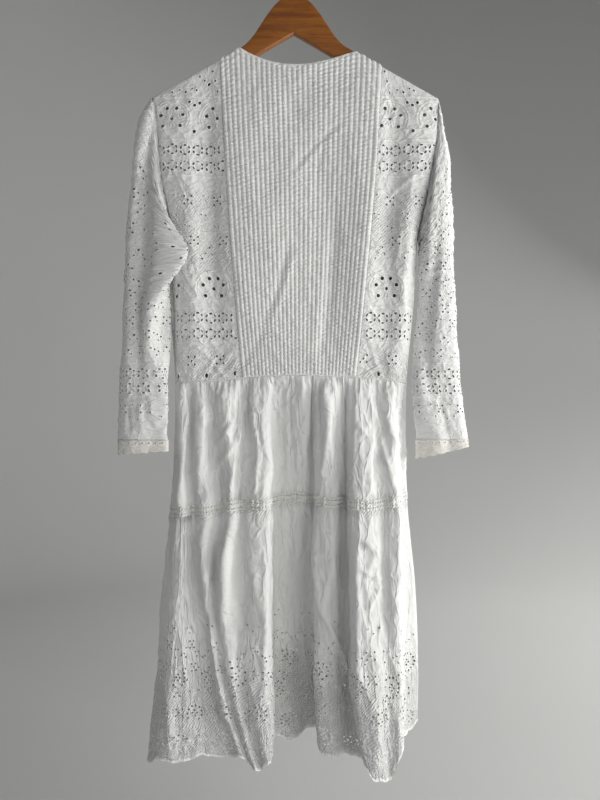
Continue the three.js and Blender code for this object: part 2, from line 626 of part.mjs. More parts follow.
function hangerArms() {
  const edge = 3;
  const body = new THREE.ExtrudeGeometry(hangerOutline(), {
    depth: armThick - 2 * edge,
    bevelThickness: edge,
    bevelSize: edge,
    bevelOffset: -edge,
    bevelSegments: 2,
    curveSegments: 4,
  });
  body.rotateX(Math.PI / 2);
  body.translate(0, armThick / 2 - edge, 0);
  const bore = new THREE.CylinderGeometry(hookBore / 2, hookBore / 2, 60, 16);
  bore.rotateX(Math.PI / 2);
  bore.translate(0, 0, hookSeatZ - seamGap + 30);
  const whole = toSolid(body).subtract(toSolid(bore));
  for (const [name, side] of [['left', -1], ['right', 1]]) {
    const half = new THREE.BoxGeometry(400, 60, 400);
    half.translate(side * (200 + seamGap / 2), 0, -150);
    add(`hanger_arm_${name}`, fromSolid(whole.intersect(toSolid(half))), 'varnishedWood');
  }
}

function hangerHook() {
  const radius = hookInnerRadius + hookWire / 2;
  const ring = spread(hookJoinsRing, hookEndsRing, 12).map((degrees) => {
    const angle = THREE.MathUtils.degToRad(degrees);
    return v3(radius * Math.cos(angle), 0, radius * Math.sin(angle) - hookInnerRadius);
  });
  const shank = [hookSeatZ, -62, -50, -46].map((z) => v3(0, 0, z));
  const path = through([...shank, ...ring]);
  const section = new THREE.Shape();
  section.absarc(0, 0, hookWire / 2, 0, Math.PI * 2);
  const wire = new THREE.ExtrudeGeometry(section, {
    extrudePath: path,
    steps: 44,
    curveSegments: 4,
    bevelEnabled: false,
  });
  add('hanger_hook', wire, 'platedSteel');
}

hangerArms();
hangerHook();

export default dress;
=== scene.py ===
import math

import bpy
import numpy as np
from mathutils.geometry import delaunay_2d_cdt
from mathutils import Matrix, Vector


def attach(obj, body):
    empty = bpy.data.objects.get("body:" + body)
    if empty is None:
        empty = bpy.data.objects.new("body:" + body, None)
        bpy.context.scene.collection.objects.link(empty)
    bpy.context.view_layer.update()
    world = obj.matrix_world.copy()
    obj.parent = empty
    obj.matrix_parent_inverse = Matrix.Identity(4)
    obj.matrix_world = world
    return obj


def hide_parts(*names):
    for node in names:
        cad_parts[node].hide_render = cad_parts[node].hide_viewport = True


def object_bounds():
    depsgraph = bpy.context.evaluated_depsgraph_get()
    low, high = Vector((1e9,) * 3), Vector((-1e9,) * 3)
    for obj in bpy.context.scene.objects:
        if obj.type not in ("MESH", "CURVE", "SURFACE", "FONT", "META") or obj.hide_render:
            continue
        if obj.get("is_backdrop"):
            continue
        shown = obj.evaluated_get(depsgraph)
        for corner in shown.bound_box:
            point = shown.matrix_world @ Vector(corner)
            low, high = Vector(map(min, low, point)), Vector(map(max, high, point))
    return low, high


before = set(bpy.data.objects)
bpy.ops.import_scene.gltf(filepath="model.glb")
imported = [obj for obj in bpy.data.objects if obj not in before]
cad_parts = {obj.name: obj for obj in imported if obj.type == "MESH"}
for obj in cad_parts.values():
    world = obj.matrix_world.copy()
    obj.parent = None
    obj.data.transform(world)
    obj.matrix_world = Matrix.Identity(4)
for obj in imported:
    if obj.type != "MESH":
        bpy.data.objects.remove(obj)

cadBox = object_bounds()
scene = bpy.context.scene

# All lengths below are in millimetres, as on the sewing pattern; meshes are made in metres.
millimetre = 0.001

# where the camera stands, and its angle from top to bottom in degrees
view = {"height": -706.8, "distance": 1100, "aside": 9.7, "angle": 61.0}

camera = bpy.data.objects.new("camera", bpy.data.cameras.new("camera"))
scene.collection.objects.link(camera)
camera.location = np.array([view["aside"], -view["distance"], view["height"]]) * millimetre
camera.rotation_euler = (math.radians(90), 0, 0)
camera.data.sensor_fit = "VERTICAL"
camera.data.angle = math.radians(view["angle"])
scene.camera = camera


# small sums

def clamp(x, low=0.0, high=1.0):
    return np.clip(x, low, high)


def ease(low, high, x):
    t = clamp((x - low) / (high - low))
    return t * t * (3 - 2 * t)


noiseRepeat = (61, 67)


def softNoise(x, y, seed):
    # smooth bumps from -1 to 1, one step apart
    table = np.random.default_rng(seed).uniform(-1, 1, noiseRepeat)
    at = lambda a, b: table[a % noiseRepeat[0], b % noiseRepeat[1]]
    i, j = np.floor(x).astype(int), np.floor(y).astype(int)
    f, g = x - i, y - j
    f, g = f * f * (3 - 2 * f), g * g * (3 - 2 * g)
    low = at(i, j) * (1 - f) + at(i + 1, j) * f
    high = at(i, j + 1) * (1 - f) + at(i + 1, j + 1) * f
    return low * (1 - g) + high * g


def crumple(x, z, across, along, seed, lean=0.0):
    # thin ridges with soft hollows between them, as washed cotton dries; about -0.5 to 1
    a, b = (x + lean * z) / across, z / along
    warp = softNoise(a * 0.6 + 9, b * 0.6, seed + 1)
    ridge = 1 - np.abs(softNoise(a + 0.7 * warp, b - 0.6 * warp, seed))
    return 1.6 * ridge ** 3 - 0.55


def creases(x, z, folds):
    # a crease is (name, from x z, to x z, width, height, bow); a steep one has a sharp left side
    total = np.zeros_like(x)
    for name, x0, z0, x1, z1, wide, high, bow in folds:
        length = math.hypot(x1 - x0, z1 - z0)
        ux, uz = (x1 - x0) / length, (z1 - z0) / length
        along = ((x - x0) * ux + (z - z0) * uz) / length
        aside = (x - x0) * -uz + (z - z0) * ux - bow * 4 * along * (1 - along)
        ends = ease(-0.08, 0.22, along) * ease(1.08, 0.72, along)
        side = np.where(aside < 0, 0.6, 1.3) if "steep" in name else 1.0
        total += high * ends * np.exp(-(aside / (wide * side)) ** 2)
    return total


# how the dress hangs: fold lines, the same ones that the solids are built on

garment = {
    "armNeckX": 93, "armNeckZ": -142, "armSlope": 0.57, "clothOverArm": 1.2, "shoulderRoll": 9,
    "underarmZ": -444, "waistZ": -671, "tierZ": -874, "neckLeftX": -90, "neckRightX": 103,
    "backNeckDrop": 27, "frontNeckDrop": 96, "tierLace": 15, "cuffHeight": 20,
    "armholeStep": 0.3, "armholeLift": 0.4,
}
bodiceZ = [-262, -340, garment["underarmZ"], -560, garment["waistZ"]]  # below the top edge
underarmV = 0.6

# x and depth at the top edge, yoke, chest, underarm, rib and waist
backLines = [
    ("left armhole and side", [-227, -220, -213, -197, -194, -192], [-10, -12, -16, -5, 2, 5]),
    ("left side roll", [-212, -208, -203, -190, -188, -186], [-10, -16, -21, -17, -9, -7]),
    ("left side panel", [-172, -172, -170, -164, -160, -160], [-10, -19, -25, -27, -22, -14]),
    ("left trough", [-139, -137, -136, -134, -124, -128], [-10, -13, -15, -16, -14, -14]),
    ("left tuck seam", [-119, -113, -108, -101, -92, -82], [-10, -18, -23, -26, -22, -15]),
    ("left of centre", [-58, -54, -51, -47, -42, -36], [-11, -19, -24, -27, -22, -17]),
    ("centre back", [6, 8, 9, 9, 9, 9], [-12, -17, -21, -24, -20, -17]),
    ("right of centre", [70, 68, 66, 63, 58, 53], [-11, -17, -20, -19, -16, -16]),
    ("right tuck seam", [141, 135, 130, 121, 110, 99], [-10, -19, -24, -26, -22, -15]),
    ("right trough", [163, 160, 158, 154, 148, 140], [-10, -14, -16, -17, -15, -13]),
    ("right side panel", [193, 193, 188, 180, 173, 162], [-10, -19, -25, -26, -20, -13]),
    ("right side roll", [217, 220, 212, 193, 186, 176], [-10, -16, -21, -16, -9, -7]),
    ("right armhole and side", [232, 231, 221, 199, 193, 182], [-10, -11, -16, -5, 2, 5]),
]
frontLines = [
    ("left armhole and side", [-227, -220, -213, -197, -194, -192], [10, 12, 15, -5, 2, 5]),
    ("left side roll", [-212, -208, -203, -190, -188, -186], [10, 15, 18, 12, 14, 14]),
    ("left side panel", [-168, -168, -166, -160, -156, -154], [10, 17, 22, 24, 22, 18]),
    ("left tuck seam", [-126, -121, -117, -108, -97, -86], [10, 14, 18, 20, 20, 20]),
    ("left of centre", [-58, -56, -53, -48, -43, -37], [11, 14, 20, 25, 24, 22]),
    ("centre front", [6, 7, 8, 9, 9, 9], [13, 14, 17, 21, 22, 22]),
    ("right of centre", [70, 69, 67, 63, 58, 53], [11, 14, 20, 25, 24, 22]),
    ("right tuck seam", [143, 138, 132, 123, 112, 101], [10, 14, 18, 20, 20, 19]),
    ("right side panel", [186, 187, 184, 176, 168, 158], [10, 17, 22, 24, 22, 17]),
    ("right side roll", [217, 220, 212, 193, 186, 176], [10, 15, 18, 12, 14, 14]),
    ("right armhole and side", [232, 231, 221, 199, 193, 182], [10, 11, 15, -5, 2, 5]),
]

skirtZ = [garment["waistZ"], -705, garment["tierZ"], -1015, -1160]
foldOpens = [0, 0.42, 0.66, 0.86, 1]  # how far the folds have opened, from the gathers to the hem

# x at the waist, tier, thigh, calf and hem; depth under the gathers and at the hem; height of the hem
skirtLines = [
    ("left seam", [-192, -201, -214, -225, -240], 8, 16, -1298),
    ("ridge 1", [-178, -179, -186, -196, -210], -17, -37, -1277),
    ("trough 1", [-167, -163, -156, -132, -98], -9, -28, -1272),
    ("ridge 2", [-150, -142, -138, -115, -79], -20, -44, -1270),
    ("trough 2", [-134, -117, -127, -107, -68], -10, -38, -1281),
    ("ridge 3", [-108, -99, -105, -93, -60], -24, -48, -1283),
    ("trough 3", [-77, -84, -85, -84, -52], -11, -44, -1286),
    ("ridge 4", [-57, -59, -59, -55, -44], -22, -54, -1279),
    ("near edge", [-42, -41, -40, -38, -35], -20, -51, -1270),
    ("valley wall", [-36, -34, -32, -31, -30], -6, 52, -1283),
    ("valley floor", [-14, -7, -4, -4, -4], -6, 60, -1287),
    ("valley ridge", [13, 16, 15, 15, 20], -12, 55, -1273),
    ("valley end", [29, 33, 33, 35, 39], -6, 52, -1265),
    ("middle edge", [39, 39, 37, 37, 42], -15, -8, -1275),
    ("middle ridge", [54, 57, 59, 61, 67], -24, -15, -1279),
    ("middle trough", [82, 84, 85, 90, 106], -8, -6, -1284),
    ("right edge", [91, 91, 92, 96, 107], -21, -67, -1262),
    ("right plane", [111, 113, 115, 119, 129], -25, -74, -1292),
    ("right trough", [135, 139, 144, 145, 147], -14, -64, -1289),
    ("right ridge", [153, 160, 162, 163, 164], -22, -62, -1256),
    ("far wall", [170, 176, 181, 186, 189], -8, 40, -1267),
    ("right seam", [182, 187, 203, 210, 210], 8, 58, -1260),
    ("front ridge 1", [168, 172, 180, 190, 196], 24, 80, -1266),
    ("front trough 1", [140, 140, 146, 152, 156], 16, 68, -1272),
    ("front ridge 2", [108, 108, 112, 118, 122], 28, 88, -1278),
    ("front trough 2", [74, 72, 72, 74, 76], 17, 76, -1280),
    ("front ridge 3", [38, 36, 34, 34, 34], 28, 92, -1284),
    ("front trough 3", [4, 2, 0, -4, -6], 18, 80, -1286),
    ("front ridge 4", [-34, -38, -42, -48, -52], 29, 92, -1284),
    ("front trough 4", [-72, -76, -82, -90, -96], 17, 68, -1282),
    ("front ridge 5", [-106, -112, -120, -130, -138], 28, 74, -1284),
    ("front trough 5", [-140, -146, -155, -166, -178], 16, 50, -1288),
    ("front ridge 6", [-170, -176, -187, -200, -214], 22, 46, -1292),
]
rightSeamLine = 21
rightSeamS = rightSeamLine / len(skirtLines)

sleeveZ = [-475, -560, -618, -683, -735, -770]

# share of the armhole from shoulder tip to underarm, crown, then x and depth at each station
leftSleeveLines = [
    ("outer edge", 0, [-252, 2, -300], [-272, -276, -278, -280, -281, -280], [2, 2, 0, -8, -14, -18]),
    ("outer ridge", 0.07, [-246, -16, -306], [-263, -264, -266, -267, -266, -264],
     [-15, -15, -17, -24, -30, -31]),
    ("valley", 0.2, [-233, -14, -318], [-238, -242, -246, -246, -244, -242],
     [-11, -12, -17, -28, -34, -34]),
    ("puffed back", 0.38, [-222, -26, -352], [-214, -234, -238, -226, -222, -222],
     [-38, -30, -26, -32, -34, -32]),
    ("fold edge", 0.6, [-204, -26, -410], [-166, -221, -228, -203, -200, -201],
     [-41, -34, -28, -30, -31, -31]),
    ("under layer", 0.8, [-198, -17, -434], [-184, -211, -214, -201, -199, -199],
     [-30, -17, -15, -23, -26, -26]),
    ("underarm", 1, [-199, -7, -458], [-201, -200, -200, -204, -204, -204], [-8, -5, -4, -12, -18, -20]),
    ("front inner", -0.7, [-212, 14, -400], [-211, -210, -210, -213, -213, -213],
     [13, 10, 8, -3, -10, -12]),
    ("front middle", -0.4, [-228, 21, -345], [-236, -238, -238, -241, -242, -241],
     [22, 18, 15, 6, -2, -6]),
    ("front outer", -0.15, [-243, 16, -312], [-260, -263, -264, -266, -267, -266],
     [17, 14, 12, 4, -4, -8]),
]
rightSleeveLines = [
    ("outer edge", 0, [250, 2, -306], [259, 262, 265, 270, 275, 281], [2, 2, 2, 2, 0, -2]),
    ("outer ridge", 0.07, [244, -14, -312], [251, 254, 257, 261, 265, 270],
     [-13, -14, -15, -14, -14, -14]),
    ("ridge line", 0.22, [236, -21, -324], [237, 229, 227, 229, 238, 247],
     [-24, -22, -19, -16, -15, -14]),
    ("puffed back", 0.4, [225, -27, -356], [226, 218, 214, 216, 224, 232],
     [-21, -9, -9, -15, -20, -19]),
    ("inner fold", 0.58, [213, -26, -404], [213, 208, 204, 202, 208, 214],
     [-23, -5, -7, -17, -18, -15]),
    ("under layer", 0.82, [206, -14, -434], [204, 201, 196, 192, 195, 200], [-13, -3, -4, -9, -10, -9]),
    ("underarm", 1, [201, -5, -457], [203, 200, 195, 192, 195, 198], [-3, 3, 3, 1, 0, 0]),
    ("front inner", -0.7, [214, 14, -400], [213, 209, 205, 202, 206, 210], [13, 13, 12, 11, 9, 8]),
    ("front middle", -0.4, [229, 20, -345], [232, 231, 230, 230, 234, 240], [20, 19, 18, 16, 13, 11]),
    ("front outer", -0.15, [242, 16, -315], [249, 251, 253, 256, 261, 267], [15, 14, 14, 12, 10, 8]),
]
cuffDrop = {"left": (-2, 4), "right": (12, -8)}


def throughPoints(points, t, closed=False):
    # smooth centripetal curve through the points; t is its share, one for each place wanted
    points = np.asarray(points, float)
    count = len(points)
    t = np.asarray(t, float)
    place = (count - (0 if closed else 1)) * t
    step = np.floor(place).astype(int)
    if not closed:
        step = np.clip(step, 0, count - 2)
    w = (place - step)[:, None]
    columns = np.arange(len(t))
    a, b, c, d = [points[(step + k) % count, columns] if points.ndim == 3 else points[(step + k) % count]
                  for k in (-1, 0, 1, 2)]
    if not closed:
        a = np.where((step == 0)[:, None], 2 * b - c, a)
        d = np.where((step == count - 2)[:, None], 2 * c - b, d)
    ab, bc, cd = [np.sum((q - p) ** 2, axis=1)[:, None] ** 0.25 for p, q in ((a, b), (b, c), (c, d))]
    bc = np.where(bc < 1e-4, 1.0, bc)
    ab = np.where(ab < 1e-4, bc, ab)
    cd = np.where(cd < 1e-4, bc, cd)
    leave = ((b - a) / ab - (c - a) / (ab + bc) + (c - b) / bc) * bc
    arrive = ((c - b) / bc - (d - b) / (bc + cd) + (d - c) / cd) * bc
    return b + w * (leave + w * (3 * (c - b) - 2 * leave - arrive + w * (2 * (b - c) + leave + arrive)))


def roundForm(nets, s, v):
    return throughPoints(np.stack([throughPoints(points, v) for points in nets]), s % 1, closed=True)


def shoulderZ(x):
    g = garment
    return g["armNeckZ"] + g["clothOverArm"] - g["armSlope"] * (np.abs(x) - g["armNeckX"])


def turnedDown(x, z):
    # 0 on the ridge along the hanger, 1 where the cloth hangs
    drop = clamp((shoulderZ(x) - z) / garment["shoulderRoll"])
    return np.sqrt(1 - (1 - drop) ** 2)


def topEdge(x, facing):
    left, right = garment["neckLeftX"], garment["neckRightX"]
    q = clamp((x - left) / (right - left))
    ends = shoulderZ(left) + (shoulderZ(right) - shoulderZ(left)) * q
    back = garment["backNeckDrop"] * np.sin(math.pi * q ** 0.85)
    front = garment["frontNeckDrop"] * np.sin(math.pi * q)
    return np.where((x <= left) | (x >= right), shoulderZ(x), ends - (back if facing < 0 else front))


def bodiceSide(lines, facing):
    # u runs across from left to right, v from the top edge to the waist
    nets = []
    for name, xs, ys in lines:
        zs = [float(topEdge(float(xs[0]), facing))] + bodiceZ
        nets.append((name, np.array([xs, ys, zs], float).T))

    def lineAt(name, points, v):
        if "armhole" not in name:
            return throughPoints(points, v)
        upper = throughPoints(points[:4], clamp(v / underarmV))
        lower = throughPoints(points[3:], clamp((v - underarmV) / (1 - underarmV)))
        return np.where((v < underarmV)[:, None], upper, lower)

    def net(u, v):
        return throughPoints(np.stack([lineAt(name, points, v) for name, points in nets]), u)

    def surface(u, v):
        p, top = net(u, v), net(u, np.zeros_like(v))
        p[:, 2] += (topEdge(top[:, 0], facing) - top[:, 2]) * clamp(1 - v * 5) ** 2
        roll = np.where(p[:, 2] > garment["underarmZ"], turnedDown(p[:, 0], p[:, 2]), 1)
        p[:, 1] *= roll
        p[:, 1] = np.where(roll < 0.1, facing * np.maximum(0.35, np.abs(p[:, 1])), p[:, 1])
        return p
    return surface


backBodice = bodiceSide(backLines, -1)
frontBodice = bodiceSide(frontLines, 1)

waistPoints = [(xs[-1], ys[-1], garment["waistZ"])
               for name, xs, ys in backLines + frontLines[1:-1][::-1]]
backShare = (len(backLines) - 1) / len(waistPoints)


def waistRing(s):
    return throughPoints(waistPoints, s % 1, closed=True)


def waistDepth(x, facing):
    low, high = (0, backShare) if facing < 0 else (backShare, 1)
    half = waistRing(np.linspace(low, high, 241))
    return half[np.argmin(np.abs(half[:, 0] - x)), 1]


def skirtNet():
    nets = []
    for index, (name, xs, top, hem, hemZ) in enumerate(skirtLines):
        facing = -1 if index <= rightSeamLine else 1
        across = [xs[0]] + xs
        ys = [waistDepth(xs[0], facing)] + [top + (hem - top) * share for share in foldOpens]
        nets.append(np.array([across, ys, skirtZ + [hemZ]], float).T)
    return nets


skirtPoints = skirtNet()


def skirt(s, v):
    # s runs all round from the left seam, over the back first; v from the waist to the hem
    return roundForm(skirtPoints, s, v)


def armholePoint(side, share):
    u = np.array([0.0 if side == "left" else 1.0])
    panel = frontBodice if share < 0 else backBodice
    p = panel(u, np.array([abs(share) * underarmV]))[0]
    p[0] += garment["armholeStep"] * (-1 if side == "left" else 1)
    p[1] -= math.sin(math.pi * max(share, 0)) * garment["armholeLift"]
    return p


def sleeveSide(side, lines):
    nets = [np.array([armholePoint(side, share), crown] + [list(p) for p in zip(xs, ys, sleeveZ)], float)
            for name, share, crown, xs, ys in lines]
    return lambda s, v: roundForm(nets, s, v)


sleeves = {"left": sleeveSide("left", leftSleeveLines), "right": sleeveSide("right", rightSleeveLines)}


def cuffSide(side):
    ring = sleeves[side](np.linspace(0, 1, 41), np.ones(41))[:, 0]
    low, high = ring.min(), ring.max()
    inner, outer = cuffDrop[side]
    leftDrop, rightDrop = (outer, inner) if side == "left" else (inner, outer)

    def surface(s, v):
        p = sleeves[side](s, np.ones_like(v))
        across = (p[:, 0] - low) / (high - low)
        p[:, 2] -= v * (garment["cuffHeight"] + leftDrop + (rightDrop - leftDrop) * across)
        return p
    return surface


cuffs = {side: cuffSide(side) for side in ("left", "right")}

# sag is how far a seam hangs above or below its level, at places across; reach is how far the
# cloth goes with it; it also wavers by so much, so far apart
seams = [
    {"level": garment["waistZ"], "reach": 42, "waver": 1.2, "apart": 9, "seed": 19,
     "sag": [(-195, -9), (-130, -5), (-60, 1), (0, 4), (80, 2), (130, -3), (185, -7)]},
    {"level": garment["tierZ"], "reach": 60, "waver": 1.4, "apart": 11, "seed": 23,
     "sag": [(-215, -15), (-160, -9), (-100, -1), (-45, 3), (0, 8), (60, 3), (120, 2), (205, 14)]},
]


def settled(points):
    # seams never hang quite level: the cloth near each one goes up or down with it
    x, z = points[:, 0], points[:, 2].copy()
    for seam in seams:
        near = np.exp(-((z - seam["level"]) / seam["reach"]) ** 2)
        waver = seam["waver"] * softNoise(x / seam["apart"], x * 0, seam["seed"])
        points[:, 2] += near * (np.interp(x, *zip(*seam["sag"])) + waver)
    return points


print("forms of the dress are ready")


# cloth laid flat, and what is worked into it

def outwardNormals(surface, u, v, outward):
    step = 1e-3
    across = surface(u + step, v) - surface(u - step, v)
    down = surface(u, np.minimum(v + step, 1)) - surface(u, np.maximum(v - step, 0))
    normal = np.cross(across, down) * outward
    return normal / np.maximum(np.linalg.norm(normal, axis=1), 1e-9)[:, None]


def skirtNormals(surface, u, v):
    return outwardNormals(surface, u, v, -1)


def bodiceNormals(surface, u, v, facing):
    inside = np.clip(u, 1e-3, 1 - 1e-3)
    normal = outwardNormals(surface, inside, np.clip(v, 1e-3, 1 - 1e-3), facing)
    p = surface(u, v)
    down = np.where(p[:, 2] > garment["underarmZ"], turnedDown(p[:, 0], p[:, 2]), 1)
    over = np.stack([np.zeros_like(down), facing * down, np.sqrt(1 - down ** 2)], axis=1)
    return np.where((down < 1)[:, None], over, normal)


def layFlat(surface, us, vs, midU, midV):
    # the piece as cut: width and length along its middle row and column, and the way back onto the form
    samples = 241
    us, vs = np.linspace(*us, samples), np.linspace(*vs, samples)
    run = lambda p: np.concatenate([[0], np.cumsum(np.linalg.norm(np.diff(p, axis=0), axis=1))])
    across = run(surface(us, np.full(samples, float(midV))))
    down = run(surface(np.full(samples, float(midU)), vs))
    return {
        "surface": surface, "width": across[-1], "length": down[-1],
        "toForm": lambda p, q: (np.interp(p, across, us), np.interp(q, down, vs)),
    }


def chartOf(flat, tall=200):
    if "chart" not in flat:
        wide = max(60, int(flat["width"] / 3))
        a, b = np.meshgrid(np.linspace(0, flat["width"], wide + 1),
                           np.linspace(0, flat["length"], tall + 1), indexing="ij")
        hung = flat["surface"](*flat["toForm"](a.ravel(), b.ravel()))
        flat["chart"] = hung.reshape(wide + 1, tall + 1, 3)
    return flat["chart"]


def stretchAt(flat, p, q):
    # how much longer the hanging cloth is than the flat chart there, across and down
    chart = chartOf(flat)
    wide, tall = chart.shape[0] - 1, chart.shape[1] - 1
    i = int(clamp(p / flat["width"] * wide, 1, wide - 1))
    j = int(clamp(q / flat["length"] * tall, 1, tall - 1))
    across = np.linalg.norm(chart[i + 1, j] - chart[i - 1, j]) / (flat["width"] * 2 / wide)
    down = np.linalg.norm(chart[i, j + 1] - chart[i, j - 1]) / (flat["length"] * 2 / tall)
    return clamp(across, 0.6, 3), clamp(down, 0.6, 3)


def flatPlace(flat, x, z):
    # where on the flat cloth a place of the hanging cloth lies, found on its chart
    chart = chartOf(flat)
    wide, tall = chart.shape[0] - 1, chart.shape[1] - 1
    x, z = np.atleast_1d(np.asarray(x, float)), np.atleast_1d(np.asarray(z, float))
    p, q = np.full_like(x, flat["width"] / 2), np.full_like(x, flat["length"] / 2)
    for _ in range(24):
        a, b = p / flat["width"] * wide, q / flat["length"] * tall
        i, j = np.minimum(a.astype(int), wide - 1), np.minimum(b.astype(int), tall - 1)
        f, g = (a - i)[:, None], (b - j)[:, None]
        there = ((chart[i, j] * (1 - f) + chart[i + 1, j] * f) * (1 - g)
                 + (chart[i, j + 1] * (1 - f) + chart[i + 1, j + 1] * f) * g)
        p = np.clip(p + 0.8 * (x - there[:, 0]), 0, flat["width"])
        q = np.clip(q - 0.8 * (z - there[:, 2]), 0, flat["length"])
    return p, q


stitchLength = 1.9


def newWork():
    return {"p": [], "q": [], "lift": [], "stitch": [], "hole": [], "clear": [], "holes": 0,
            "sewn": [], "lines": []}


def addPoints(work, p, q, lift, stitch, hole=-1):
    count = len(p)
    for key, value in (("p", p), ("q", q), ("lift", np.full(count, lift)),
                       ("stitch", np.full(count, stitch)), ("hole", np.full(count, hole))):
        work[key].extend(np.asarray(value).tolist())


def eyelet(work, flat, p, q, radius, oval=1.0, turn=0.0):
    # a cut hole with a raised ring of thread round it
    rim = 0.5 if radius < 1.3 else 0.8
    reach = radius * max(oval, 1) + rim + 0.6
    if not (reach < p < flat["width"] - reach and reach < q < flat["length"] - reach):
        return
    if work["clear"]:
        others = np.array(work["clear"])
        if np.any(np.hypot(others[:, 0] - p, others[:, 1] - q) < 0.6 * (others[:, 2] + reach)):
            return
    count = 8 if radius < 1.7 else 12
    across, down = stretchAt(flat, p, q)
    angle = np.arange(count) * 2 * math.pi / count
    rings = [(0.0, 0.25, 0.9, work["holes"]), (rim, 0.5, 1.0, -1), (rim + 0.7, 0.0, 0.0, -1)]
    for grow, lift, stitch, hole in rings[::2] if radius < 1.3 else rings:
        a, b = (radius * oval + grow) * np.cos(angle), (radius / oval + grow) * np.sin(angle)
        addPoints(work, p + (a * math.cos(turn) - b * math.sin(turn)) / across,
                  q + (a * math.sin(turn) + b * math.cos(turn)) / down, lift, stitch, hole)
    work["holes"] += 1
    work["clear"].append((p, q, reach + 0.3))


def stitchedLine(work, points, width=0.9, height=0.45):
    work["sewn"].append((np.asarray(points, float), width, height))


def sewLines(work, flat):
    # satin stitch along each line: a raised middle with flat cloth at each side, clear of the eyelets
    clear = np.array(work["clear"]).reshape(-1, 3)
    for points, width, height in work["sewn"]:
        run = np.concatenate([[0], np.cumsum(np.linalg.norm(np.diff(points, axis=0), axis=1))])
        if run[-1] < 2:
            continue
        ts = np.linspace(0, run[-1], max(2, int(run[-1] / stitchLength)) + 1)
        middle = np.stack([np.interp(ts, run, points[:, 0]), np.interp(ts, run, points[:, 1])], axis=1)
        along = np.gradient(middle, axis=0)
        aside = np.stack([-along[:, 1], along[:, 0]], axis=1)
        aside /= np.maximum(np.linalg.norm(along, axis=1), 1e-6)[:, None]
        keep = ((middle[:, 0] > 2) & (middle[:, 0] < flat["width"] - 2)
                & (middle[:, 1] > 2) & (middle[:, 1] < flat["length"] - 2))
        gap = np.hypot(middle[:, None, 0] - clear[None, :, 0], middle[:, None, 1] - clear[None, :, 1])
        keep &= np.all(gap > clear[:, 2] - 0.2, axis=1)
        middle, aside = middle[keep], aside[keep]
        for offset, lift, stitch in ((0, height, 1.0), (-width, 0, 0.0), (width, 0, 0.0)):
            side = middle + aside * offset
            addPoints(work, side[:, 0], side[:, 1], lift, stitch)
        work["lines"].append((middle[:, 0], middle[:, 1], width + 0.9))


def clothPoints(flat, columns, rows, work):
    # weave points between the worked ones; columns and rows are the spacings to fill with
    p, q = [a.ravel() for a in np.meshgrid(columns, rows, indexing="ij")]
    edge = (p < 1e-6) | (p > flat["width"] - 1e-6) | (q < 1e-6) | (q > flat["length"] - 1e-6)
    stagger = (np.searchsorted(rows, q) % 2) * 0.5
    gap = np.interp(p, (columns[1:] + columns[:-1]) / 2, np.diff(columns))
    p = np.where(edge, p, p + stagger * gap - 0.25 * gap)
    keep = np.ones(len(p), bool)
    for a, b, reach in work["clear"]:
        keep &= edge | (np.hypot(p - a, q - b) > reach)
    for a, b, reach in work["lines"]:
        for start in range(0, len(a), 400):
            part = slice(start, start + 400)
            low, high = a[part].min(initial=0) - reach, a[part].max(initial=0) + reach
            near = np.flatnonzero((p > low) & (p < high))
            gapToLine = np.hypot(p[near, None] - a[None, part], q[near, None] - b[None, part])
            keep[near] &= edge[near] | (gapToLine.min(axis=1, initial=99) > reach)
    return p[keep], q[keep]


def cutCloth(flat, columns, rows, work):
    # one triangle mesh through all the points, with the eyelets cut out
    sewLines(work, flat)
    p, q = clothPoints(flat, columns, rows, work)
    plain = len(p)
    p, q = np.concatenate([p, work["p"]]), np.concatenate([q, work["q"]])
    lift, stitch, hole = [np.concatenate([np.full(plain, value), work[key]])
                          for key, value in (("lift", 0.0), ("stitch", 0.0), ("hole", -1))]
    flatPoints = np.stack([p, q], axis=1)
    spots, _, faces, sources, _, _ = delaunay_2d_cdt(flatPoints.tolist(), [], [], 0, 1e-4, True)
    source = np.array([found[0] for found in sources])
    faces = np.array(faces)
    corners = hole[source][faces].astype(int)
    inHole = (corners[:, 0] >= 0) & np.all(corners == corners[:, :1], axis=1)
    return {"p": p[source], "q": q[source], "lift": lift[source], "stitch": stitch[source],
            "faces": faces[~inHole][:, ::-1].tolist()}


def gridCloth(columns, rows):
    # plain four-sided weave; columns and rows are places on the flat cloth
    p, q = [a.ravel() for a in np.meshgrid(columns, rows)]
    wide = len(columns)
    corner = (np.arange(len(rows) - 1)[:, None] * wide + np.arange(wide - 1)[None, :]).ravel()
    faces = np.stack([corner, corner + wide, corner + wide + 1, corner + 1], axis=1)
    return {"p": p, "q": q, "lift": np.zeros_like(p), "stitch": np.zeros_like(p), "faces": faces.tolist()}


def hexColour(text):
    values = [int(text[k:k + 2], 16) / 255 for k in (1, 3, 5)]
    return tuple(v / 12.92 if v <= 0.04045 else ((v + 0.055) / 1.055) ** 2.4 for v in values) + (1.0,)


def addNode(nodes, kind, inputs=None, **settings):
    # a socket among the inputs is linked, anything else is its value
    node = nodes.new(kind)
    for name, value in settings.items():
        setattr(node, name, value)
    for key, value in (inputs or {}).items():
        if isinstance(value, bpy.types.NodeSocket):
            node.id_data.links.new(value, node.inputs[key])
        else:
            node.inputs[key].default_value = value
    return node


def newMaterial(name):
    material = bpy.data.materials.new(name)
    material.use_nodes = True
    material.node_tree.nodes.clear()
    return material, material.node_tree.nodes


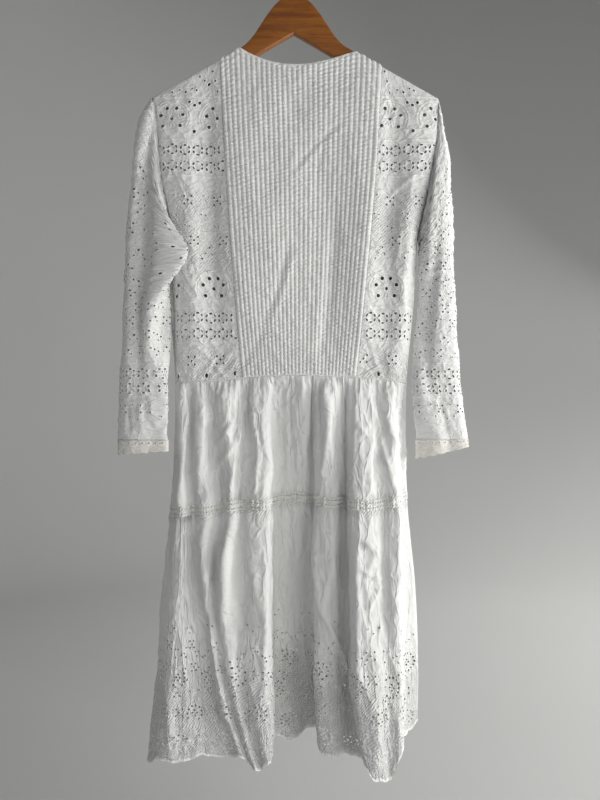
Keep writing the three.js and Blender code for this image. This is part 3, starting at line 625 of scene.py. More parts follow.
def cottonMaterial(name, look):
    # plain woven cotton: matt, a little fuzzy at grazing angles, with brighter satin-stitched thread; its
    # colour has painted shade, a little darker in the gaps between the threads
    material, nodes = newMaterial(name)
    cloth = addNode(nodes, "ShaderNodeAttribute", attribute_name="flatMm").outputs["Vector"]
    stitch = addNode(nodes, "ShaderNodeAttribute", attribute_name="stitch").outputs["Fac"]
    pucker = addNode(nodes, "ShaderNodeAttribute", attribute_name="pucker").outputs["Fac"]
    weave = []
    for direction in ("X", "Y"):
        bands = addNode(nodes, "ShaderNodeTexWave", {
            "Vector": cloth, "Scale": 2 * math.pi / 20 / look["threadGap"], "Distortion": 1.2,
            "Detail": 1.0, "Detail Scale": 2.0}, bands_direction=direction)
        weave.append(bands.outputs["Fac"])
    threads = addNode(nodes, "ShaderNodeMath", {0: weave[0], 1: weave[1]}, operation="MULTIPLY")
    slub = addNode(nodes, "ShaderNodeTexNoise", {
        "Vector": cloth, "Scale": 1 / look["slub"], "Detail": 4.0, "Roughness": 0.6}).outputs["Fac"]
    stretched = addNode(nodes, "ShaderNodeMapping", {
        "Vector": cloth, "Rotation": (0, 0, math.radians(look.get("lean", 0))),
        "Scale": look.get("grain", (0.35, 1.0)) + (1.0,)}).outputs["Vector"]
    puckers = addNode(nodes, "ShaderNodeTexNoise", {
        "Vector": stretched, "Scale": 1 / look["puckerSize"], "Detail": 3.0, "Roughness": 0.55,
        "Distortion": 0.6}).outputs["Fac"]
    puckered = addNode(nodes, "ShaderNodeMath", {0: puckers, 1: pucker}, operation="MULTIPLY")
    drift = addNode(nodes, "ShaderNodeTexNoise", {"Vector": stretched, "Scale": 0.06, "Detail": 2.0})
    wandering = addNode(nodes, "ShaderNodeVectorMath", {
        0: drift.outputs["Color"], 1: (22.0, 22.0, 0.0), 2: stretched}, operation="MULTIPLY_ADD")
    cells = addNode(nodes, "ShaderNodeTexVoronoi", {
        "Vector": wandering.outputs[0], "Scale": 1 / look["creaseSize"]}, feature="DISTANCE_TO_EDGE")
    creased = addNode(nodes, "ShaderNodeMapRange", {"Value": cells.outputs["Distance"], "From Max": 0.16,
                                                    "To Min": look["creaseDepth"], "To Max": 0.0},
                      interpolation_type="SMOOTHERSTEP")
    feathers = addNode(nodes, "ShaderNodeTexWave", {
        "Vector": cloth, "Scale": 2 * math.pi / 10 / look["featherGap"], "Distortion": 13.0,
        "Detail": 2.0, "Detail Scale": 0.22, "Detail Roughness": 0.6}, bands_direction="DIAGONAL")
    worked = addNode(nodes, "ShaderNodeMapRange", {"Value": pucker, "From Min": 0.55, "From Max": 1.0,
                                                   "To Max": look["featherDepth"]})
    feathered = addNode(nodes, "ShaderNodeMath", {0: feathers.outputs["Fac"], 1: worked.outputs[0]},
                        operation="MULTIPLY")
    layers = [(threads.outputs[0], look["threadDepth"]), (slub, look["slubDepth"]),
              (puckered.outputs[0], look["puckerDepth"]), (feathered.outputs[0], 1.0),
              (creased.outputs[0], 1.0)]
    height = 0.0
    for layer, depth in layers:
        height = addNode(nodes, "ShaderNodeMath", {0: layer, 1: depth, 2: height},
                         operation="MULTIPLY_ADD").outputs[0]
    bump = addNode(nodes, "ShaderNodeBump", {"Height": height, "Distance": millimetre, "Strength": 1.0})
    tone = addNode(nodes, "ShaderNodeTexNoise", {"Vector": cloth, "Scale": 0.018, "Detail": 3.0})
    colour = addNode(nodes, "ShaderNodeMix", {
        "Factor": tone.outputs["Fac"], "A": hexColour(look["colour"]), "B": hexColour(look["shade"])},
        data_type="RGBA")
    # painted shade: the colour is darkened by up to 7 percent in the gaps between the threads, where
    # shade falls
    gaps = addNode(nodes, "ShaderNodeMapRange", {"Value": threads.outputs[0], "From Max": 0.5,
                                                 "To Min": 0.93, "To Max": 1.0})
    gapShadedColour = addNode(nodes, "ShaderNodeMix", {
        "Factor": 1.0, "A": colour.outputs["Result"], "B": gaps.outputs[0]},
        data_type="RGBA", blend_type="MULTIPLY")
    threaded = addNode(nodes, "ShaderNodeMix", {
        "Factor": stitch, "A": gapShadedColour.outputs["Result"], "B": hexColour(look["thread"])},
        data_type="RGBA")
    gloss = addNode(nodes, "ShaderNodeMapRange", {"Value": stitch, "To Min": look["roughness"],
                                                  "To Max": 0.55})
    shader = addNode(nodes, "ShaderNodeBsdfPrincipled", {
        "Base Color": threaded.outputs["Result"], "Roughness": gloss.outputs[0], "IOR": 1.5,
        "Sheen Weight": 0.12, "Sheen Roughness": 0.5, "Normal": bump.outputs["Normal"]})
    addNode(nodes, "ShaderNodeOutputMaterial", {"Surface": shader.outputs[0]})
    return material


# threads of lawn lie about 0.3 mm apart, drawn at 0.9 mm so that the weave shows; feather stitching
# is about 3 mm from ridge to ridge, drawn at 5 mm for the same reason
lawn = {"threadGap": 0.9, "threadDepth": 0.08, "slub": 2.4, "slubDepth": 0.6, "puckerSize": 5.0,
        "puckerDepth": 4.2, "featherGap": 5.0, "featherDepth": 1.1,
        "creaseSize": 15.0, "creaseDepth": 0.6, "roughness": 0.88,
        "colour": "#efefee", "shade": "#e6e6e6", "thread": "#f8f8f7"}
materials = {
    # lawn, sewn into pintucks: bright smooth ridges that beads of puckering break up
    "tuckedLawn": cottonMaterial("tuckedCottonLawn", {**lawn, "slubDepth": 0.4, "creaseDepth": 0.25}),
    # eyelet-worked voile: dull ground with slightly shiny thread round every cut hole
    "eyeletCotton": cottonMaterial("eyeletWorkedCotton", {**lawn, "lean": 24, "grain": (0.75, 1.0),
                                   "featherDepth": 0.7, "puckerDepth": 3.8}),
    # washed voile, never ironed: soft all-over crumple
    "skirtCotton": cottonMaterial("washedCottonVoile", {**lawn, "puckerSize": 5.5, "grain": (1.0, 0.3),
                                  "lean": 8, "creaseDepth": 0.9}),
    # bobbin-made ladder lace in a thicker, creamier thread
    "ladderLace": cottonMaterial("ladderLaceCotton", {**lawn, "threadGap": 1.4, "threadDepth": 0.3,
                                 "colour": "#f1f1ee", "shade": "#ebeae7", "thread": "#f8f8f5"}),
    # bias strip folded double: a firm matt edge with its row of stitches
    "folded": cottonMaterial("foldedCottonBinding", {**lawn, "threadGap": 1.2, "threadDepth": 0.12,
                             "colour": "#f3f1ec"}),
    # cuff trimming of unbleached crochet cotton
    "trim": cottonMaterial("crochetCottonTrim", {**lawn, "threadGap": 1.6, "threadDepth": 0.4,
                           "colour": "#f2efea", "shade": "#ece8e1", "thread": "#f7f5f0"}),
}


def newObject(name, points, faces, material):
    mesh = bpy.data.meshes.new(name)
    mesh.from_pydata(points, [], faces)
    mesh.shade_smooth()
    mesh.materials.append(material)
    made = bpy.data.objects.new(name, mesh)
    scene.collection.objects.link(made)
    return made


def writeOn(piece, **values):
    # numbers on the mesh's points, for the material to read; three to a point make a vector
    for key, value in values.items():
        kind, field = ("FLOAT_VECTOR", "vector") if value.ndim == 2 else ("FLOAT", "value")
        piece.data.attributes.new(key, kind, "POINT").data.foreach_set(field, value.ravel())


def putOnFrame(piece, node):
    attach(piece, "root")
    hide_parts(node)


def evenPucker(amount):
    return lambda p, q, base: np.full_like(p, amount)


def makePiece(name, cloth, flat, normals, relief, material, node, pucker, solid=0.4,
              closed=False):
    # puts the flat cloth on its form, raises its relief and hangs it on the hanger's body;
    # sleeves and cuffs close round, and all else settles with the seams
    p, q = cloth["p"], cloth["q"]
    u, v = flat["toForm"](p, q)
    base = flat["surface"](u, v)
    normal = normals(flat["surface"], u, v)
    high = relief(p, q, base) + cloth["lift"]
    points = base + normal * high[:, None]
    points = (points if closed else settled(points)) * millimetre
    piece = newObject(name, points.tolist(), cloth["faces"], materials[material])
    writeOn(piece, flatMm=np.stack([p, q, 0 * p], axis=1), stitch=cloth["stitch"],
            pucker=pucker(p, q, base))
    if closed:
        weld = piece.modifiers.new("seam", "WELD")
        weld.merge_threshold = 0.05 * millimetre
    if solid:
        shell = piece.modifiers.new("clothThickness", "SOLIDIFY")
        shell.thickness = solid * millimetre
        shell.offset = 0
    putOnFrame(piece, node)
    print(name, len(points), "points,", round(flat["width"]), "by", round(flat["length"]), "mm flat")


def spaced(length, gap):
    return np.linspace(0, length, max(2, int(round(length / gap)) + 1))


# back and front of the bodice

# height of a ridge, length of one bead of puckering and how deep it cuts, shares across a tuck
# where the mesh has its columns, and how far below the top the cloth lies over the hanger
tucks = {"count": 31, "height": 2.8, "bead": 6.0, "beadDepth": 0.68, "rowGap": 1.45,
         "steps": [0, 0.17, 0.5, 0.82], "overHanger": 24}

# name, from x and z, to x and z, width, height, bow to one side
bodiceCreases = [
    ("deep crease left of centre", -10, -462, -46, -584, 6, -3.2, 4),
    ("ridge beside it", -2, -470, -37, -588, 5, 2.2, 4),
    ("slanting crease under the neck", 82, -262, -8, -352, 5, -2.4, -5),
    ("its lower ridge", 76, -272, -4, -362, 5, 1.6, -5),
    ("short crease", 52, -282, 34, -356, 4, -1.8, 0),
    ("long hollow right of centre", 66, -400, 40, -664, 9, -3.4, 6),
    ("ridge left of the hollow", 48, -410, 24, -668, 7, 1.8, 6),
    ("slack above the waist", -42, -590, -90, -664, 6, -2.2, 0),
    ("steep fold from the armhole", 138, -398, 200, -348, 4, 2.2, 3),
    ("fold down the right side", 172, -392, 164, -500, 5, 2.6, 0),
    ("lower right fold", 166, -500, 178, -600, 5, 2.0, 4),
    ("steep fold under the rings", 118, -606, 132, -652, 4, 1.8, 0),
    ("right waist fold", 110, -668, 150, -640, 3, 1.6, 0),
    ("first waist fold, left", -92, -618, -150, -682, 4, 2.2, 3),
    ("second waist fold, left", -78, -632, -128, -684, 4, 1.9, -2),
    ("third waist fold, left", -124, -632, -164, -682, 4, 2.2, 3),
    ("fold in the left trough", -132, -330, -128, -560, 5, -1.6, 3),
]
frontCreases = [
    ("slack under the neck", -60, -300, 20, -420, 6, 2.2, 5),
    ("slanting crease", 80, -330, 20, -480, 6, -2.4, -5),
    ("left waist fold", -100, -600, -150, -680, 5, 2.2, 3),
    ("right waist fold", 100, -590, 150, -676, 5, 2.2, -3),
    ("long hollow", -30, -430, -10, -660, 8, -2.6, 4),
]


def seamFade(flat, p, q, reach=7.0):
    return (ease(0, reach, p) * ease(flat["width"], flat["width"] - reach, p)
            * ease(0, reach, q) * ease(flat["length"], flat["length"] - reach, q))


def tuckedPanel(name, surface, facing, share, folds, rowGap, node, solid):
    flat = layFlat(surface, share, (0.0, 1.0), sum(share) / 2, 0.5)
    count, top = tucks["count"], tucks["overHanger"]
    pitch = flat["width"] / count
    columns = [(k + np.array(tucks["steps"])) * pitch for k in range(count)] + [[flat["width"]]]
    rows = [np.arange(0, top, tucks["rowGap"]), top + spaced(flat["length"] - top, rowGap)]
    cloth = gridCloth(np.concatenate(columns), np.concatenate(rows))
    drift = np.random.default_rng(31).uniform(0, 1, (count + 1, 3))

    def relief(p, q, base):
        x, z = base[:, 0], base[:, 2]
        tuck = clamp(np.floor(p / pitch + 1e-6), 0, count).astype(int)
        across = p / pitch - tuck
        ridge = (ease(-0.04, 0.17, across) * ease(1.04, 0.81, across)
                 * (0.9 + 0.1 * np.sin(math.pi * across)))
        wander = softNoise(q / 17 + 40 * drift[tuck, 1], tuck * 3.7, 5)
        beat = np.cos(2 * math.pi * (q / (tucks["bead"] * (0.85 + 0.3 * drift[tuck, 2]))
                                     + drift[tuck, 0] + 0.45 * wander))
        bead = 1 - tucks["beadDepth"] * clamp(0.5 - 0.75 * beat) * (0.75 + 0.25 * wander)
        uneven = 1 + 0.22 * softNoise(p / 13, q / 30, 8)
        worn = (1.6 * softNoise(x / 42, z / 60, 11) + 0.6 * crumple(x, z, 19, 26, 12, 0.5)
                + 0.25 * crumple(x, z, 8, 11, 13, -0.5))
        edge = seamFade(flat, p, q) * ease(2, 30, q)
        return (tucks["height"] * ridge * bead * uneven * ease(0, 3, q) * ease(0, 4, flat["length"] - q)
                + edge * (worn + 0.62 * creases(x, z, folds)))

    makePiece(name, cloth, flat, lambda s, u, v: bodiceNormals(s, u, v, facing), relief,
              "tuckedLawn", node, evenPucker(0.5), solid=solid)


# the worked bands, top to bottom, as heights below the hook
bands = {"yokeLine": -222, "medallions": -258, "underMedallions": -293, "rings": (-309, -335),
         "underRings": -351, "flowers": -390, "pairs": (-412, -432), "middleLine": -440,
         "leaves": -470, "lowMedallions": -529, "underLow": -560, "lowRings": (-576, -601),
         "lastLine": -614, "waistFlowers": -640, "largeOvals": -662}


def circle(radius, start=0, stop=360, count=40):
    angle = np.radians(np.linspace(start, stop, count))
    return radius * np.cos(angle), radius * np.sin(angle)


def workOn(work, flat, toCloth):
    # a set of small tools that put stitches at places on the hanging cloth
    def line(points, width=0.9, height=0.45):
        points = np.asarray(points, float)
        p, q = toCloth(points[:, 0], points[:, 1])
        stitchedLine(work, np.stack([p, q], axis=1), width, height)

    def holes(spots):
        p, q = toCloth([s[0] for s in spots], [s[1] for s in spots])
        for k, spot in enumerate(spots):
            eyelet(work, flat, p[k], q[k], spot[2], *(spot[3:] or (1.0, 0.0)))
    return line, holes


def medallion(line, holes, x, z, size=30.0):
    ring = [(x + 0.62 * size * math.cos(a), z + 0.62 * size * math.sin(a), 3.0)
            for a in np.radians([18, 66, 114, 162, 222, 318])]
    holes([(x, z, 2.7)] + ring)
    for a in np.radians(np.arange(0, 360, 24)):
        line([(x + r * math.cos(a), z + r * math.sin(a)) for r in (4.8, 8.0, 12.5)], 0.9, 0.9)
    for radius in (0.86 * size, size):
        a, b = circle(radius, -28, 208)
        line(np.stack([x + a, z + b], axis=1), 1.1, 1.0)


def flower(holes, x, z, step=5.2, size=1.55):
    holes([(x, z, size)] + [(x + a * step, z + b * step, size) for a in (-1, 1) for b in (-1, 1)])


def ringOfOvals(holes, x, z, size=7.3, hole=2.05):
    holes([(x + size * math.cos(a), z + size * math.sin(a), hole, 1.3, -a + math.pi / 2)
           for a in np.radians(np.arange(0, 360, 60) + 30)])


def sideBands(work, flat, left, right, start):
    # left and right are the panel's edges, start the middle of its first medallion
    line, holes = workOn(work, flat, lambda x, z: flatPlace(flat, x, z))
    across = lambda z: line([(x, z) for x in np.linspace(left, right, 30)], 1.0, 0.8)
    width = right - left
    for k in range(-2, 3):
        x = start + 73 * k
        if left - 30 < x < right + 30:
            medallion(line, holes, x, bands["medallions"])
            medallion(line, holes, x - 6, bands["lowMedallions"], 28)
            holes([(x + 36, bands["medallions"] - 21, 2.8), (x + 36, bands["medallions"] + 22, 2.5),
                   (x + 28, bands["medallions"] + 27, 2.4), (x + 44, bands["medallions"] + 26, 2.4)])
        for dx, dz, size in ((-14, 57, 2.6), (-4, 62, 1.7), (-24, 62, 1.7), (12, 48, 1.6), (22, 44, 2.0),
                             (32, 50, 1.6), (0, 44, 1.6), (-34, 47, 1.8), (44, 70, 1.7), (52, 63, 1.7),
                             (-8, 78, 1.7), (4, 84, 1.7), (16, 74, 2.0), (-20, 90, 1.6)):
            holes([(x + dx, bands["medallions"] + dz, size)])
    for z in ("yokeLine", "underMedallions", "underRings", "middleLine", "underLow", "lastLine"):
        across(bands[z])
    for z in bands["rings"] + bands["lowRings"]:
        for k in range(-6, 7):
            if left < start + 9 + 20.0 * k < right:
                ringOfOvals(holes, start + 9 + 20.0 * k, z + 1.5 * math.sin(3 * k))
    for k in range(-3, 4):
        x = start + 46 * k
        flower(holes, x, bands["flowers"], 5.6, 1.8)
        holes([(x + 20, bands["pairs"][0], 1.4), (x + 27, bands["pairs"][0] - 1, 1.4),
               (x + 3, bands["pairs"][1], 1.4), (x - 4, bands["pairs"][1] + 2, 1.4),
               (x + 24, bands["flowers"] + 8, 1.3), (x - 20, bands["pairs"][1] + 12, 1.3)])
        flower(holes, x + 10, bands["middleLine"] - 14, 5.4, 1.7)
        holes([(x - 13, bands["leaves"] + 6, 1.7), (x - 9, bands["leaves"] - 4, 1.4),
               (x + 22, bands["leaves"] - 12, 1.7), (x + 27, bands["leaves"] - 3, 1.4)])
        flower(holes, x + 4, bands["waistFlowers"], 5.4, 1.7)
        holes([(x + 28, bands["largeOvals"], 2.9, 1.2, 1.5)])
    stem = np.linspace(left, right, 60)
    line(np.stack([stem, bands["leaves"] + 9 * np.sin(stem / 15)], axis=1), 0.7, 0.4)
    for k, x in enumerate(np.arange(left + 8, right, 15.0)):
        turn = 1 if k % 2 else -1
        root = bands["leaves"] + 9 * math.sin(x / 15)
        leaf = [(x + 9 * t, root + turn * (10 * t + 4 * math.sin(3.1 * t))) for t in np.linspace(0, 1, 8)]
        line(leaf, 1.1, 0.5)
    for z in np.linspace(-634, -612, 3):
        line([(x, z - 24 + 4 * math.sin(x / 6)) for x in np.linspace(left, right, 30)], 0.6, 0.3)


def eyeletPanel(name, surface, facing, share, edges, start, folds, gap, node, solid, seed):
    flat = layFlat(surface, share, (0.0, 1.0), sum(share) / 2, 0.5)
    work = newWork()
    sideBands(work, flat, edges[0], edges[1], start)
    cloth = cutCloth(flat, spaced(flat["width"], gap), spaced(flat["length"], gap), work)

    def relief(p, q, base):
        x, z = base[:, 0], base[:, 2]
        worn = (1.3 * softNoise(x / 30, z / 46, seed) + 1.1 * crumple(x, z, 15, 22, seed + 2, 0.5)
                + 0.7 * crumple(x, z, 7, 9, seed + 4, -0.4))
        return seamFade(flat, p, q) * ease(2, 46, q) * (worn + creases(x, z, folds))

    def pucker(p, q, base):
        # most at the yoke, between the two groups of bands and along the waist
        z = base[:, 2]
        return ease(0, 24, q) * (0.45 + 0.5 * ease(-600, -650, z) + 0.5 * ease(-350, -400, z)
                                 * ease(-530, -480, z) + 0.3 * softNoise(p / 30, q / 30, seed + 7))

    makePiece(name, cloth, flat, lambda s, u, v: bodiceNormals(s, u, v, facing), relief,
              "eyeletCotton", node, pucker, solid=solid)


tuckedPanel("pintuckPanelBack", backBodice, -1, (4 / 12, 8 / 12), bodiceCreases, tucks["rowGap"],
            "back_centre_panel", 0.4)
eyeletPanel("eyeletSideBackLeft", backBodice, -1, (0, 4 / 12), (-230, -82), -122, bodiceCreases, 2.3,
            "back_side_left", 0.4, 51)
eyeletPanel("eyeletSideBackRight", backBodice, -1, (8 / 12, 1), (99, 235), 153, bodiceCreases, 2.3,
            "back_side_right", 0.4, 61)
tuckedPanel("pintuckPanelFront", frontBodice, 1, (3 / 10, 7 / 10), frontCreases, 3.0,
            "front_centre_panel", 0)
eyeletPanel("eyeletSideFrontLeft", frontBodice, 1, (0, 3 / 10), (-230, -86), -122, frontCreases, 4.5,
            "front_side_left", 0, 71)
eyeletPanel("eyeletSideFrontRight", frontBodice, 1, (7 / 10, 1), (101, 235), 153, frontCreases, 4.5,
            "front_side_right", 0, 81)


# sleeves

# mesh gaps behind and in front, the share of the way round that is behind, the ringed band's edges,
# and how far the left sleeve's outer side puffs out at each drop
sleeveLook = {"fine": 2.5, "coarse": 5.0, "backShare": 0.64, "band": (-652, -699),
              "puff": [(216, 0), (224, 4), (236, 8), (250, 9), (276, 8), (300, 5), (347, 2), (417, 3),
                       (475, 1), (520, 0)]}
sleeveCreases = {
    "left": [
        ("fold from the valley", -222, -430, -188, -398, 4, 1.6, 2),
        ("next fold", -226, -452, -190, -424, 4, 1.6, 2),
        ("steep fold into the elbow", -214, -560, -232, -612, 4, 2.0, -3),
        ("crease above the cuff", -262, -716, -258, -764, 4, -2.0, 0),
        ("second one", -244, -705, -240, -764, 4, 2.0, 2),
        ("slant at the elbow", -272, -520, -248, -566, 5, 1.6, 0),
        ("fold at the forearm", -226, -700, -214, -760, 4, 1.6, -2),
    ],
    "right": [
        ("rising fold", 204, -500, 236, -476, 4, 1.8, 2),
        ("second rising fold", 204, -520, 238, -498, 3, 1.6, 2),
        ("pale fold", 194, -512, 226, -501, 3, 2.2, 0),
        ("forearm fold", 222, -706, 240, -748, 4, 2.0, 0),
        ("second forearm fold", 238, -712, 252, -754, 4, 1.8, 0),
        ("level crease", 214, -703, 250, -700, 2.5, 1.5, 0),
        ("level crease below", 214, -714, 246, -710, 2.5, 1.3, 0),
    ],
}


def sleevePattern(work, flat, heights):
    # loose flowers and rows of eyelets, then the ringed band above the wrist
    line, holes = workOn(work, flat, lambda p, q: (np.asarray(p, float), np.asarray(q, float)))
    at = lambda z: float(np.interp(-z, -heights[1], heights[0]))
    top, bottom = at(-345), at(sleeveLook["band"][0])
    width = flat["width"]
    loose = np.random.default_rng(17)
    for row, q in enumerate(np.arange(top, bottom - 12, 23.0)):
        for k, p in enumerate(np.arange(9 + 13 * (row % 2), width - 6, 26.0)):
            p, near = p + loose.uniform(-3, 3), q + loose.uniform(-4, 4)
            if (row + k) % 3 == 0:
                flower(holes, p, near, 5.2, 1.6)
            elif (row + k) % 3 == 1:
                holes([(p - 7, near - 2, 1.6), (p, near, 1.7), (p + 7, near + 3, 1.6),
                       (p + 1, near + 9, 1.6)])
            else:
                holes([(p, near, 1.9), (p - 6, near + 7, 1.5), (p + 6, near + 6, 1.5)])
                line([(p + t, near - 6 - 0.05 * t * t) for t in np.linspace(-8, 8, 9)], 0.7, 0.4)
    start, stop = at(sleeveLook["band"][0]), at(sleeveLook["band"][1])
    for q in (start - 3, stop + 3):
        line([(p, q) for p in np.linspace(3, width - 3, 90)], 0.8, 0.5)
    rings = int(width / 19.5)
    for q in (start + 0.28 * (stop - start), start + 0.78 * (stop - start)):
        for k in range(rings):
            ringOfOvals(holes, (k + 0.5) * width / rings, q)
    for k in range(int(width / 34)):
        flower(holes, 17 + 34 * k, stop + 22, 5.2, 1.6)
        holes([(34 * k + over, stop + below, 1.3) for over, below in ((34, 15), (30, 34), (8, 38))])


def sleevePiece(side):
    surface, facing = sleeves[side], -1 if side == "left" else 1
    flat = layFlat(surface, (0.0, 1.0), (0.0, 1.0), 0.3, 0.5)
    down = np.linspace(0, flat["length"], 200)
    u, v = flat["toForm"](np.full(200, 0.2 * flat["width"]), down)
    work = newWork()
    sleevePattern(work, flat, (down, surface(u, v)[:, 2]))
    shares = np.linspace(0, 1, 241)
    around = flat["toForm"](shares * flat["width"], shares * 0)[0]
    turn = float(np.interp(sleeveLook["backShare"], around, shares))
    columns = np.concatenate([
        spaced(turn * flat["width"], sleeveLook["fine"])[:-1],
        turn * flat["width"] + spaced((1 - turn) * flat["width"], sleeveLook["coarse"])])
    cloth = cutCloth(flat, columns, spaced(flat["length"], sleeveLook["fine"]), work)
    seed = 91 if side == "left" else 97

    def relief(p, q, base):
        x, y, z = base.T
        ends = ease(0, 8, q) * ease(flat["length"], flat["length"] - 8, q)
        around = x + 1.4 * y
        upper = ease(-620, -480, z)
        worn = (1.6 * softNoise(around / 26, z / 40, seed)
                + (0.7 + 0.4 * upper) * crumple(around, z, 16, 14, seed + 2, 0.5 * facing)
                + (0.6 + 0.5 * upper) * crumple(around, z, 8, 8, seed + 4, -0.5 * facing))
        elbow = np.exp(-((np.abs(x) - 206) / 26) ** 2 - ((z + 470) / 62) ** 2)
        worn += 1.5 * elbow * crumple(x, z, 9, 7, seed + 6, 0.7 * facing)
        outer = ease(214, 240, np.abs(x)) * (side == "left")
        puffed = outer * np.interp(-z, *zip(*sleeveLook["puff"]))
        gathered = (0.9 * np.exp(-q / 9) * np.cos(p / 1.3 + 2 * softNoise(p / 9, q / 30, 4))
                    * ease(0, 3, q))
        behind = ease(2, -4, y)
        return puffed + ends * worn + gathered + ends * behind * creases(x, z, sleeveCreases[side])

    makePiece("sleeve" + side.capitalize(), cloth, flat, lambda s, u, v: outwardNormals(s, u, v, facing),
              relief, "eyeletCotton", "sleeve_" + side,
              lambda p, q, base: 0.4 + 0.4 * ease(-640, -520, base[:, 2]), closed=True)


def cuffPiece(side):
    surface, facing = cuffs[side], -1 if side == "left" else 1
    flat = layFlat(surface, (0.0, 1.0), (0.0, 1.0), 0.3, 0.5)
    work, width, length = newWork(), flat["width"], flat["length"]
    for k in range(int(width / 10.5)):
        eyelet(work, flat, (k + 0.5) * 10.5, 4.4, 1.35)
    for q, swing in ((length * 0.12, 0.4), (length * 0.42, 0.9), (length * 0.9, 0.5)):
        line = [(p, q + swing * math.sin(p * 0.9)) for p in np.linspace(2, width - 2, 160)]
        stitchedLine(work, line, 0.8, 0.45)
    cloth = cutCloth(flat, spaced(width, 1.8), spaced(length, 1.6), work)
    onForm = flat["toForm"]
    flat["toForm"] = lambda p, q: (onForm(p, q)[0], onForm(p, q)[1] - 0.07 * ease(
        0.55, 1, q / length) * (1 - np.abs(np.sin(p * math.pi * round(width / 15) / width))))

    def relief(p, q, base):
        slack = softNoise(p / 8, q / 14, 3) + 0.4 * softNoise(p / 3.5, q / 5, 6)
        return 0.7 + 0.55 * slack + 0.6 * np.exp(-(q - length) ** 2 / 3) + 0.5 * np.exp(-q ** 2 / 4)

    makePiece("cuff" + side.capitalize(), cloth, flat, lambda s, u, v: outwardNormals(s, u, v, facing),
              relief, "trim", "cuff_" + side, evenPucker(0.5), closed=True, solid=0.6)


for side in ("left", "right"):
    sleevePiece(side)
    cuffPiece(side)


# skirt

